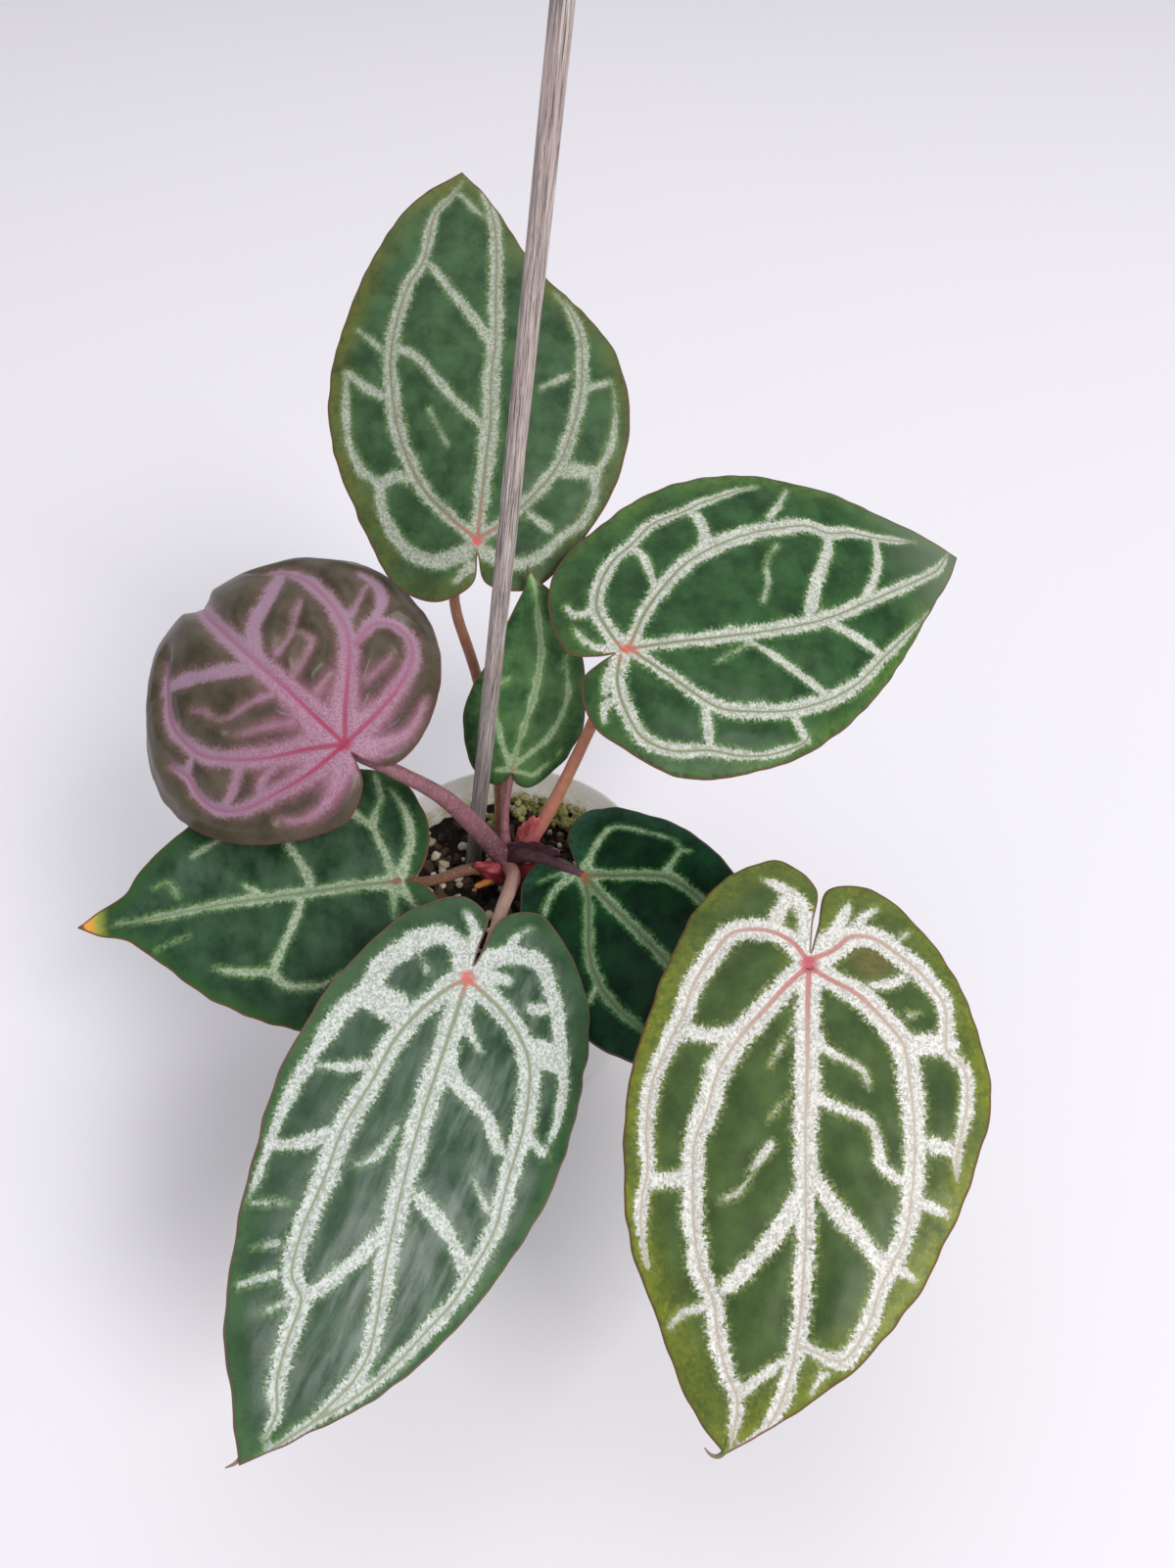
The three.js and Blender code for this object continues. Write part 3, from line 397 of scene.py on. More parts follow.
            ((1.5, 1.5), [(27, 30), (25, 24)]),
            ((0.8, 0.3), [(42.5, 23.5), (38, 18)]),
            ((0.6, 0.9, 0.3), [(36, -0.5), (42, -1.5), (45, -4), (46, -6.5)]),
            ((4, 4), [(7, 25), (8.5, 20)]),
            ((1.3, 1.4), [(0, 15.5), (-2, 19)]),
            ((2.2, 0.8), [(-1, 3), (-3, 6), (-3.5, 9)]),
            ((1.6, 0.4), [(-10, 6), (-15, 6.5), (-18.5, 8.5)]),
            ((1.8, 0.5), [(10, 3), (12, 6), (14, 9)]),
            ((0.3, 0.5), [(3, -8.5), (0.5, -11)]),
            ((0.3, 0.4), [(57, -13), (58.5, -17), (60, -20)]),
            ((0.4, 0.2), [(64, -11.5), (66.5, -15.5)]),
            ((1, 0.6), [(80, 12), (82, 14.5)]),
        ],
    },
    "small": {
        "mains": [
            ((1.6, 1.6, 1.5, 0.7), [(0, 0), (10, 1), (20, 2.5), (30, 4.3), (40, 6), (50, 7.5), (70, 6),
                (97, 1)]),
            ((1.5, 1.8, 1.4, 0.8), [(0.5, 0), (4, 5), (9, 11.5), (14, 19), (20, 26.2), (28, 29.7),
                (37, 31.5), (50, 29), (66, 22)]),
            ((1.2, 1.4, 1.4, 0.9), [(0.5, 0), (10, -3), (20, -8), (30, -13.5), (40, -16.5), (50, -17),
                (60, -15), (67, -12.5)]),
        ],
        "veins": [
            ((1.1, 0.6), [(17, 27), (14, 32), (11.5, 37), (13.5, 39.5)]),
            ((0.5, 0.3), [(11, 37), (5, 37.5)]),
            ((1, 0.9, 0.7, 0.4), [(-3, 3), (-8, 9), (-12, 15), (-13.5, 20), (-10.5, 25), (-6, 29),
                (-1.5, 32.5), (4.5, 37)]),
            ((1, 0.6), [(44, -18), (48, -24)]),
            ((1.1, 0.9), [(-1, -1), (-1, -8), (1, -14), (5, -19), (8, -21)]),
            ((0.9, 0.2), [(-3, -2), (-6, -8), (-8, -16)]),
        ],
    },
    "left": {
        "mains": [
            ((1.5, 1.6, 1.6, 1, 0.3), [(0, 0), (10, 0), (30, 0.5), (50, 0.5), (65, 1), (80, 1.5),
                (88, 1.2)]),
        ],
        "veins": [
            ((0.9, 1), [(30, 1), (31, 5), (35, 13), (39, 20), (41.5, 24)]),
            ((1, 0.4), [(41.5, 24), (46, 23.5), (54, 22), (59, 20.5)]),
            ((1, 0.6), [(41.5, 24), (38, 28.5), (34, 30), (27, 30.5), (20, 28)]),
            ((1.4, 0.9), [(27, -1), (28.5, -7), (30.5, -12), (34, -18)]),
            ((1.2, 0.7), [(43, 0), (45, -3), (48, -5)]),
            ((0.8, 1.1), [(0.5, 0), (2, -7), (4, -15), (6, -20), (10, -24), (13, -28)]),
            ((1, 0.6), [(5.5, -20), (4, -25), (1.5, -31), (2, -38), (3, -41)]),
            ((1, 1.2, 0.6), [(-1.5, -2), (-4, -7), (-6.5, -14), (-6.5, -22), (-4.5, -29), (-2, -34)]),
            ((0.5, 0.8), [(63, -17), (57, -20), (52, -22.5)]),
            ((0.6, 0.6), [(0, 0), (1.5, 5), (2, 12)]),
            ((0.7, 0.5), [(-1, 2), (-5, 9)]),
            ((0.3, 0.2), [(76, 12), (70, 10), (65, 9)]),
            ((0.3, 0.4), [(75, -8), (71, -9.5), (68, -4.5)]),
        ],
    },
    "young": {
        "mains": [
            ((4.6, 3.4, 2.6, 2.2, 1.8), [(0, 0), (11, 1.1), (24, 2.1), (34, 3.2), (45, 4), (56, 4.3),
                (64, 4.3), (80, 3), (97, 0.5)]),
            ((4, 3, 2.5, 2, 1.3), [(0, 0), (5.6, 8.8), (12, 20), (19, 28), (27, 33.6), (35, 35.2),
                (46, 34.4), (54, 30), (66, 22)]),
            ((4, 2.9, 2.5, 2.3, 1.3), [(0, 0), (8, -7), (16, -15), (24, -21.6), (33.6, -24.8), (45, -25.6),
                (56, -24.8), (64, -22.4), (74, -17)]),
            ((2.8, 2.4, 1.8), [(0, 0), (0.8, -12), (3.2, -25), (8, -34.4), (14.4, -37.6), (21, -36),
                (24, -31), (21, -21.6)]),
            ((3, 2.4, 1.9, 1.4), [(0, 0), (0, 12), (1.6, 23), (5, 36), (11, 42.4), (19, 44), (27, 42.4),
                (36, 45)]),
        ],
        "veins": [
            ((2.2, 2), [(33, 3), (40, 12), (48, 20), (54, 25.6), (58, 30)]),
            ((2.2, 2.2), [(36, 2), (45, -3), (52, -12), (60, -19), (66, -22)]),
            ((1.6, 1.8), [(24, -31), (30, -39), (38.4, -42.4), (46.4, -41)]),
            ((0.8, 0.5), [(30, -27), (34, -33), (40, -40)]),
            ((1.2, 1), [(3, 30), (7, 25), (8, 19)]),
            ((1.2, 1.6), [(9, 40), (11, 34), (15, 27)]),
            ((1.6, 1.2), [(27, 42), (29, 38), (30, 34)]),
            ((2.2, 1.4, 0.7), [(-1, 0), (-6.4, 7), (-10, 17), (-9, 24), (-5, 28)]),
            ((2.2, 1.3, 0.7), [(-1.6, -1), (-6.4, -7), (-9, -17), (-5, -28)]),
            ((0.9, 0.4, 0.3), [(24, 6), (26.4, 12), (27.6, 18), (30, 22), (36, 24), (40, 27)]),
            ((0.8, 0.4), [(14, 7), (19, 15), (21.6, 20), (24, 22)]),
            ((0.8, 0.4, 0.8, 0.4), [(24, -1), (27, -9), (30, -13), (33.6, -12)]),
            ((0.7, 0.4), [(33, -3), (35, -9), (40, -14.5), (44, -19)]),
            ((0.6, 0.3), [(16, -4), (17.6, -10)]),
            ((0.5, 0.4), [(10, -17), (11.5, -28)]),
        ],
    },
}

# Colours of each blade. Widths and reaches are mm: "soft" is the blur of the silver's edge, "merge" how
# much wider the bands are at the junction and how far out that goes, "cord" the cords' half-width there
# and farther out, "glow" how far their red goes and "flush" how strong it is, "spot" where the red
# spot at the junction starts and is full, "dusk" how much duller the silver is beside a cord and how far
# that goes, partly the vein's own colour and partly painted shade in the cord's groove. "sides" are the
# strengths of the left and right margins, "lobes" those of the margin beside the cleft and ahead of it,
# and "gloss" the roughness of islets and of silver.
USUAL_LOOK = {"sides": (0.8, 0.8), "lobes": (0.6, 1), "flush": 0.5, "dusk": (0.3, 1.2), "cord": (0.45, 0.28)}
LOOKS = {
    "back": {"deep": "#233f24", "light": "#42623e", "silver": "#7b8671", "bright": "#b4bbab",
        "line": "#7f7a60", "margin": "#66692f", "margin_reach": 10, "sides": (0.95, 0.6),
        "heart": "#c9565a", "rim": "#6a4a3c", "soft": 0.4, "merge": (0.8, 8), "cord": (0.5, 0.28),
        "glow": 18, "spot": (2.4, 0.8), "gloss": (0.36, 0.5), "flush": 0.45, "shine": 0.2,
        "halo": "#6d8a4c"},
    "right": {"deep": "#203c22", "light": "#395d35", "silver": "#949c8a", "bright": "#d3d6cb",
        "line": "#7b8262", "margin": "#5a7a3a", "margin_reach": 9, "heart": "#c9584a", "rim": "#6b4a3a",
        "soft": 0.3, "merge": (0.9, 9), "cord": (0.5, 0.28), "glow": 6, "spot": (2.2, 0.8),
        "gloss": (0.34, 0.5), "shine": 0.13, "halo": "#679042", "lobes": (0.2, 1)},
    # The inner leaf's dark margin, strongest along its left side, is painted shade.
    "inner": {"deep": "#2d5631", "light": "#638c55", "silver": "#93b884", "bright": "#cfe2bd",
        "line": "#9db57d", "margin": "#123c18", "margin_reach": 7, "sides": (1, 0.3), "heart": "#b98a78",
        "rim": "#5f5238", "soft": 0.3, "merge": (0.5, 8), "cord": (0.3, 0.25), "glow": 4,
        "spot": (1.6, 0.6), "gloss": (0.36, 0.5), "flush": 0.4, "shine": 0.2, "halo": "#74a04e",
        "dusk": (0.2, 1)},
    "front_right": {"deep": "#374c27", "light": "#4f6535", "silver": "#b4b5ab", "bright": "#f2f0ea",
        "line": "#bfae9c", "margin": "#7c862c", "margin_reach": 12, "sides": (0.95, 0.9),
        "heart": "#c25a62", "rim": "#6f4a34", "soft": 0.25, "merge": (0.8, 10), "cord": (0.7, 0.28),
        "glow": 34, "spot": (3.4, 1.4), "gloss": (0.38, 0.55), "flush": 0.75, "shine": 0.2,
        "halo": "#8b9a42", "dusk": (0.25, 1.2)},
    "front_left": {"deep": "#29422e", "light": "#415a43", "silver": "#98a297", "bright": "#d8ded7",
        "line": "#85906f", "margin": "#43683a", "margin_reach": 7, "heart": "#cf645c", "rim": "#6f544a",
        "soft": 0.25, "merge": (1.4, 14), "cord": (0.6, 0.33), "glow": 8, "spot": (3, 1.2),
        "gloss": (0.33, 0.52), "shine": 0.22, "halo": "#6f9152", "dusk": (0.3, 1.4)},
    "small": {"deep": "#031a0d", "light": "#103a1e", "silver": "#5c7757", "bright": "#b2c9a4",
        "line": "#5f6a44", "margin": "#37604a", "margin_reach": 11, "heart": "#b05a38", "rim": "#5e5148",
        "soft": 0.4, "merge": (1.2, 10), "cord": (0.45, 0.3), "glow": 6, "spot": (2, 0.8),
        "gloss": (0.42, 0.54), "shine": 0.1, "halo": "#4f8a3c", "dusk": (0.8, 2.2), "lobes": (1, 0.2)},
    "left": {"deep": "#15341d", "light": "#37563b", "silver": "#778f6f", "bright": "#b5c3a6",
        "line": "#75835f", "margin": "#355c2a", "margin_reach": 5, "heart": "#8a5f50", "rim": "#6a4c3a",
        "soft": 0.3, "merge": (1, 10), "glow": 5, "spot": (2, 0.8), "gloss": (0.38, 0.5), "shine": 0.13,
        "halo": "#6f9650", "dusk": (0.5, 1.6)},
    "young": {"deep": "#383321", "light": "#5a5040", "silver": "#8e5c71", "bright": "#ab869a",
        "line": "#a4607f", "margin": "#554a3c", "margin_reach": 7, "sides": (0.9, 0.9), "heart": "#9c2850",
        "rim": "#6b3f42", "soft": 0.8, "merge": (1.6, 17), "cord": (0.6, 0.3), "glow": 38, "spot": (3, 1),
        "gloss": (0.36, 0.42), "flush": 1, "shine": 0.28, "halo": "#7a6c46"},
}

# Path of each curled drip tip on from the blade's tip, as (forward, to the left)
HOOKS = {
    "front_right": [(-4.0, 0), (-1.0, 0), (0.8, -1.4), (0.9, -3.0), (-0.2, -4.8)],
    "front_left": [(-5.0, 0.2), (-2.0, -0.2), (0.2, -1.0), (1.9, -2.6)],
}
HOOK_RADII = [0.35, 0.7, 0.6, 0.4, 0.15]
HOOK_SIDES, HOOK_RINGS = 12, 30

# Silver's grain, the front right leaf's stain and the left leaf's burnt tip
CELL_SCALE = 1.7
YOUNG_FINENESS = 1.6
STAIN_PLACE = (-5.5, 15.5, 0.0)
BURNT_TIP = [(0.89, 0.945, "#9aa246"), (0.93, 0.965, "#eda048"), (0.985, 0.995, "#4a3020")]

# Papery skins as (deep, pale, veins), and the skins of the two stubs as (foot, tip, spots)
SHEATH_SKINS = {
    "red": ("#7a2630", "#a53b42", "#561c26"),
    "pink": ("#b84a50", "#d98078", "#93394a"),
    "purple": ("#2f1722", "#4a2633", "#1f0f18"),
}
ROOT_SKIN = ("#a8672c", "#e08a34", "#8f5a30")
SHOOT_SKIN = ("#76806a", "#94a088", "#5f6a4c")

# Mix materials as (dark, light, spots, roughness from and to, grain's scale, grain's depth)
MIX_SKINS = {
    "mix_soil": ("#120d0a", "#2c211a", "#3f3226", (0.85, 0.95), 0.9, 0.8),
    "mix_bark": ("#1e1510", "#5a4030", "#7a5c42", (0.75, 0.92), 0.8, 0.6),
    "mix_pumice": ("#b5a88c", "#ece4d2", "#94866a", (0.8, 0.95), 1.2, 0.4),
    "mix_moss": ("#81853f", "#d6d092", "#4f5a2a", (0.85, 0.95), 2.0, 0.5),
}


# Small helpers

def linear(colour):
    """Linear RGBA of a colour written as in a style sheet."""
    shares = [int(colour[i:i + 2], 16) / 255 for i in (1, 3, 5)]
    return tuple(c / 12.92 if c <= 0.04045 else ((c + 0.055) / 1.055) ** 2.4 for c in shares) + (1.0,)


def bumpy(*place):
    """Smooth noise about zero at a place of two or three numbers."""
    return noise.noise(Vector(place))


def unit(vectors):
    """A vector, or each row of an array, at length one."""
    return vectors / np.linalg.norm(vectors, axis=-1, keepdims=True)


def resample(line, count_for):
    """Evenly spaced points along a line, and its length. count_for gives the number of steps for a length."""
    run = np.concatenate([[0], np.cumsum(np.linalg.norm(np.diff(line, axis=0), axis=1))])
    stops = np.linspace(0, run[-1], count_for(run[-1]) + 1)
    return np.column_stack([np.interp(stops, run, column) for column in line.T]), run[-1]


def blend(t, u, v, start, end):
    """u at start to v at end, at each t."""
    return ((end - t) * u + (t - start) * v) / (end - start)


def smooth_line(points, step):
    """Points about every step along a centripetal Catmull-Rom curve through the given ones."""
    p = np.array(points, float)
    p = np.vstack([2 * p[0] - p[1], p, 2 * p[-1] - p[-2]])
    fine = []
    for a, b, c, d in zip(p[:-3], p[1:-2], p[2:-1], p[3:]):
        k = np.cumsum([0.0] + [max(np.linalg.norm(v - u) ** 0.5, 1e-6) for u, v in ((a, b), (b, c), (c, d))])
        t = np.linspace(k[1], k[2], CURVE_STEPS, endpoint=False)[:, None]
        ab, bc, cd = blend(t, a, b, k[0], k[1]), blend(t, b, c, k[1], k[2]), blend(t, c, d, k[2], k[3])
        fine.append(blend(t, blend(t, ab, bc, k[0], k[2]), blend(t, bc, cd, k[1], k[3]), k[1], k[2]))
    return resample(np.vstack(fine + [p[-2:-1]]), lambda length: max(2, int(round(length / step))))[0]


def smoothstep(low, high, value):
    """value from low to high, eased, as 0 to 1; low may be the greater."""
    share = np.clip((value - low) / (high - low), 0, 1)
    return share * share * (3 - 2 * share)


def new_object(name, data):
    """An object of the data, in the scene."""
    made = bpy.data.objects.new(name, data)
    bpy.context.scene.collection.objects.link(made)
    return made


def make_piece(name, points, faces, materials, slot, node=None, attributes=None, face_materials=None):
    """A piece that rides on the plant, from points in mm, with its materials and vertex attributes."""
    mesh = bpy.data.meshes.new(name)
    mesh.from_pydata((np.asarray(points, float) * MM).tolist(), [], faces)
    for material in materials:
        mesh.materials.append(material)
    if face_materials is not None:
        mesh.polygons.foreach_set("material_index", np.asarray(face_materials, dtype=np.int32))
    for key, values in (attributes or {}).items():
        values = np.asarray(values, dtype=np.float32)
        kind, field = ("FLOAT", "value") if values.ndim == 1 else ("FLOAT_VECTOR", "vector")
        mesh.attributes.new(key, kind, "POINT").data.foreach_set(field, values.ravel())
    mesh.polygons.foreach_set("use_smooth", np.full(len(mesh.polygons), True))
    mesh.validate()
    mesh.update()
    piece = new_object(name, mesh)
    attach(piece, "root")
    if node:
        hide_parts(node)


# Material nodes

class Value:
    """A node's output. Sums, differences and products of such values are Math nodes."""

    def __init__(self, shader, socket):
        self.shader = shader
        self.socket = socket

    def __add__(self, other):
        return self.shader.math("ADD", self, other)

    def __sub__(self, other):
        return self.shader.math("SUBTRACT", self, other)

    def __mul__(self, other):
        return self.shader.math("MULTIPLY", self, other)

    def steps(self, low, high, start=0.0, end=1.0):
        """The value from low to high, eased, as start to end."""
        inputs = {0: self, 1: low, 2: high, 3: start, 4: end}
        return self.shader.node("MapRange", inputs, interpolation_type="SMOOTHSTEP")

    def swing(self, height):
        """A noise as a push of at most half the height either way."""
        return (self - 0.5) * height


class Shader:
    """The node tree of one material, with a short call for each kind of node that the materials use."""

    def __init__(self, name):
        self.material = bpy.data.materials.new(name)
        self.material.use_nodes = True
        self.tree = self.material.node_tree
        self.surface = self.tree.nodes["Principled BSDF"]

    def feed(self, socket, value):
        """Links a value to a socket, or sets the socket's own number or colour."""
        if isinstance(value, Value):
            self.tree.links.new(value.socket, socket)
        else:
            socket.default_value = linear(value) if isinstance(value, str) else value

    def node(self, kind, inputs=(), output=0, **settings):
        """One output of a new node, whose inputs are given by number or name."""
        made = self.tree.nodes.new("ShaderNode" + kind)
        for key, value in settings.items():
            setattr(made, key, value)
        for key, value in dict(inputs).items():
            self.feed(made.inputs[key], value)
        return Value(self, made.outputs[output])

    def math(self, operation, a, b=0.0):
        return self.node("Math", {0: a, 1: b}, operation=operation)

    def mix(self, factor, a, b):
        return self.node("Mix", {0: factor, 6: a, 7: b}, 2, data_type="RGBA")

    def layers(self, colour, *others):
        """The colour with others over it, each as (value, low, high, most, colour)."""
        for value, low, high, most, over in others:
            colour = self.mix(value.steps(low, high, 0.0, most), colour, over)
        return colour

    def attribute(self, name, output="Vector"):
        """A vertex attribute of the mesh."""
        return self.node("Attribute", (), output, attribute_name=name, attribute_type="GEOMETRY")

    def number(self, name):
        return self.attribute(name, "Fac")

    def split(self, vector):
        """The three numbers of a vector."""
        parts = self.node("SeparateXYZ", {0: vector}).socket.node.outputs
        return [Value(self, part) for part in parts]

    def combine(self, x, y, z=0.0):
        return self.node("CombineXYZ", {0: x, 1: y, 2: z})

    def noise(self, vector, scale, detail=2.0, roughness=0.5):
        inputs = {"Vector": vector, "Scale": scale, "Detail": detail, "Roughness": roughness}
        return self.node("TexNoise", inputs, "Fac")

    def place(self, scale=1.0 / MM):
        """The piece's own coordinates, in millimetres unless another scale is asked for."""
        return self.node("VectorMath", {0: self.node("TexCoord", (), "Object"), 3: scale}, operation="SCALE")

    def finish(self, colour, rough, bump=None, **settings):
        """The material, with a bump as (height, depth in mm, strength) and settings such as IOR."""
        settings.update(Base_Color=colour, Roughness=rough)
        if bump:
            height, depth, strength = bump
            inputs = {"Height": height, "Distance": depth * MM, "Strength": strength}
            settings["Normal"] = self.node("Bump", inputs)
        for key, value in settings.items():
            self.feed(self.surface.inputs[key.replace("_", " ")], value)
        return self.material


# Blades: flat layout

def blade_outline(leaf):
    """Closed outline of the flat blade: tip, left half back to the cleft, right half up to the tip."""
    length = leaf["length"]
    halves = ([TIP, *leaf["left"], CLEFT], [CLEFT, *leaf["right"][::-1], TIP])
    outline = np.vstack([smooth_line(np.array(half) / 100 * length, OUTLINE_STEP)[:-1] for half in halves])
    reach = np.linalg.norm(outline, axis=1)
    scallop = np.array([bumpy(x * SCALLOP_SCALE, y * SCALLOP_SCALE, length) for x, y in outline])
    calm = smoothstep(0.15, 0.3, reach / length) * smoothstep(1.0, 0.93, outline[:, 0] / length)
    return outline * (1 + SCALLOP_HEIGHT * scallop * calm / reach)[:, None]


def vein_lines(name, length):
    """(is a main, half-widths, smoothed middle line in mm) of each vein of a leaf."""
    for rank in ("mains", "veins"):
        for widths, points in VEINS[name][rank]:
            yield rank == "mains", widths, smooth_line(np.array(points) / 100 * length, CORD_STEP)


def side_steps(line):
    """The unit vector to the left of a line at each of its points."""
    ahead = unit(np.gradient(line, axis=0))
    return np.column_stack([-ahead[:, 1], ahead[:, 0]])


def thin_out(groups, spacing):
    """The groups' points in order, without those that come within spacing of one already kept."""
    kept, cells = [], {}
    for points in groups:
        for x, y in points:
            cell = (math.floor(x / spacing), math.floor(y / spacing))
            around = ((cell[0] + i, cell[1] + j) for i in (-1, 0, 1) for j in (-1, 0, 1))
            near = (q for spot in around for q in cells.get(spot, ()))
            if any((x - q[0]) ** 2 + (y - q[1]) ** 2 < spacing * spacing for q in near):
                continue
            cells.setdefault(cell, []).append((x, y))
            kept.append((x, y))
    return kept


def blade_layout(name, leaf, outline):
    """Places and triangles of the flat blade, closest together along its main veins."""
    lines = [line for is_main, _, line in vein_lines(name, leaf["length"]) if is_main]
    shoulders = [line + side * CORD_SHOULDER * side_steps(line) for line in lines for side in (-1, 1)]
    low, high = outline.min(axis=0), outline.max(axis=0)
    rows = np.arange(low[0], high[0], GRID_STEP * math.sqrt(3) / 2)
    columns = np.arange(low[1], high[1], GRID_STEP)
    grid = [(x, y + (i % 2) * GRID_STEP / 2) for i, x in enumerate(rows) for y in columns]
    rim = thin_out([outline], OUTLINE_STEP * 0.4)
    inside = thin_out([rim, *lines, *shoulders, grid], GRID_STEP * 0.55)[len(rim):]
    made = delaunay_2d_cdt([Vector(p) for p in rim + inside], [], [list(range(len(rim)))], 1, 1e-6)
    return np.array([tuple(v) for v in made[0]]), [tuple(f) for f in made[2]]


def segment_distances(places, line):
    """Distance of each place to each stretch of a line, and the share of the stretch where it is nearest."""
    start, step = line[:-1], np.diff(line, axis=0)
    away = places[:, None, :] - start[None]
    share = np.clip((away * step).sum(axis=2) / np.maximum((step * step).sum(axis=1), 1e-9), 0, 1)
    gap = away - share[..., None] * step
    return np.sqrt((gap * gap).sum(axis=2)), share


def measure_veins(name, leaf, places):
    """For each place in mm: how far outside the nearest band it is, how far along that band, how far from the
    nearest cord, and the band's half-width."""
    rows = np.arange(len(places))
    band, cord = np.full((2, len(places)), FAR)
    along, width = np.zeros((2, len(places)))
    for number, (is_main, widths, line) in enumerate(vein_lines(name, leaf["length"])):
        gap, share = segment_distances(places, line)
        count = len(line) - 1
        run = (np.arange(count)[None] + share) / count
        half = np.interp(run, np.linspace(0, 1, len(widths)), widths) * np.minimum(1, (1.02 - run) / 0.1) ** 0.5
        best = rows, np.argmin(gap - half, axis=1)
        outside = (gap - half)[best]
        nearer = outside < band
        band = np.where(nearer, outside, band)
        along = np.where(nearer, run[best] * count * CORD_STEP + VEIN_OFFSET * number, along)
        width = np.where(nearer, half[best], width)
        if is_main:
            cord = np.minimum(cord, gap.min(axis=1))
    return band, along, cord, width


# Blades: shape in space

def blade_point(leaf, flat, lift):
    """Flat places, lifted off the middle of the blade, bent along the midrib and across it. Numpy arrays."""
    s, y = flat[:, 0], flat[:, 1]
    bend, power = math.radians(leaf["bend"]), leaf.get("bend_power", 1)
    reach = np.abs(s) / leaf["length"]
    stops = (np.arange(ARC_STEPS) + 0.5) / ARC_STEPS
    angle = bend * (reach[:, None] * stops) ** power
    along = np.cos(angle).mean(axis=1) * s
    drop = np.sin(angle).mean(axis=1) * np.abs(s)
    turn = np.sign(s) * bend * reach ** power
    droop = np.radians(np.where(y >= 0, *leaf["droop"]))
    lean = (droop * np.abs(y) / leaf["half_width"])[:, None] * stops
    across = np.cos(lean).mean(axis=1) * y
    height = lift - np.sin(lean).mean(axis=1) * np.abs(y)
    return np.column_stack([along + height * np.sin(turn), across, height * np.cos(turn) - drop])


def to_plant(leaf, local):
    """Points of the bent blade, turned and moved to where the leaf stands."""
    turn = (Matrix.Rotation(math.radians(leaf["heading"]), 3, "Z")
            @ Matrix.Rotation(-math.radians(leaf["pitch"]), 3, "Y")
            @ Matrix.Rotation(math.radians(leaf["roll"]), 3, "X"))
    return local @ np.array(turn).T + np.array(leaf["junction"])


def edge_wave(leaf, outline, places):
    """Lift of the blade's own waves, which grow towards the edge."""
    height, count, phase = leaf["wave"]
    angle = np.arctan2(places[:, 1], places[:, 0])
    rim_angle = np.arctan2(outline[:, 1], outline[:, 0])
    order = np.argsort(rim_angle)
    rim_reach = np.linalg.norm(outline, axis=1)[order]
    share = np.linalg.norm(places, axis=1) / np.interp(angle, rim_angle[order], rim_reach, period=TURN)
    return height * np.clip(share, 0, 1) ** 4 * np.sin(count * angle + phase) * np.cos(angle / 2)


def blade_relief(leaf, places, band, cord, edge):
    """Height of the upper face over a flat blade: puffed between the veins, grooved along each cord."""
    puffed = leaf["puff"] * smoothstep(-0.5, leaf.get("puff_reach", 7.0), band) * smoothstep(0.0, 6.0, edge)
    groove = np.exp(-(cord / GROOVE_WIDTH) ** 2) * (0.25 + 0.18 * leaf["puff"]) * smoothstep(0.0, 5.0, edge)
    ripple = np.array([bumpy(x * RIPPLE_SCALE, y * RIPPLE_SCALE, leaf["length"]) for x, y in places])
    return puffed - groove + RIPPLE_HEIGHT * ripple * smoothstep(0.0, 4.0, edge)


def build_blade(name, leaf):
    """Upper face, underside and a thin rounded rim between them."""
    outline = blade_outline(leaf)
    places, triangles = blade_layout(name, leaf, outline)
    band, along, cord, width = measure_veins(name, leaf, places)
    edge = segment_distances(places, np.vstack([outline, outline[:1]]))[0].min(axis=1)
    middle = edge_wave(leaf, outline, places) + blade_relief(leaf, places, band, cord, edge)
    rib = RIB_HEIGHT * np.exp(-cord ** 2) * smoothstep(0.0, 6.0, edge)
    top = blade_point(leaf, places, middle + BLADE_THICKNESS / 2)
    under = blade_point(leaf, places, middle - rib - BLADE_THICKNESS / 2)

    sides = {(a, b): None for f in triangles for a, b in zip(f, f[1:] + f[:1])}
    rim_edges = [pair for pair in sides if pair[::-1] not in sides]
    rim_points = sorted({a for a, _ in rim_edges})
    outward = unit(places[rim_points] - np.array([leaf["length"] * 0.3, 0])) * RIM_BULGE
    rim = blade_point(leaf, places[rim_points] + outward, middle[rim_points])

    count = len(places)
    rim_number = {a: 2 * count + i for i, a in enumerate(rim_points)}
    faces = triangles + [(a + count, c + count, b + count) for a, b, c in triangles]
    for a, b in rim_edges:
        faces.append((b, a, rim_number[a], rim_number[b]))
        faces.append((rim_number[b], rim_number[a], a + count, b + count))
    kinds = [0] * len(triangles) + [1] * len(triangles) + [2] * (2 * len(rim_edges))

    attributes = {
        "flat": np.column_stack([places, np.zeros(count)]),
        "veins": np.column_stack([band, along, cord]),
        "layout": np.column_stack([edge, np.linalg.norm(places, axis=1), places[:, 0] / leaf["length"]]),
        "width": width,
    }
    for key, values in attributes.items():
        attributes[key] = np.concatenate([values, values, values[rim_points]])
    materials = [make(name) for make in (blade_face_material, blade_under_material, blade_rim_material)]
    points = to_plant(leaf, np.vstack([top, under, rim]))
    piece, node = "blade_" + name, "leaf_blade_" + name
    make_piece(piece, points, faces, materials, piece, node, attributes, kinds)


def build_hook(name):
    """The blade's tip, drawn out into a thin curled beak."""
    leaf = LEAVES[name]
    path = to_plant(leaf, blade_point(leaf, np.array(HOOKS[name]) + (leaf["length"], 0), 0.0))
    points, faces, attributes = sweep(path, HOOK_RADII, HOOK_SIDES, HOOK_RINGS)
    make_piece("tip_" + name, points, faces, [hook_material(name)], "blade_" + name, None, attributes)


# Blade materials

def look_of(name):
    """A leaf's colours and reaches: the usual ones, with its own over them."""
    return {**USUAL_LOOK, **LOOKS[name]}


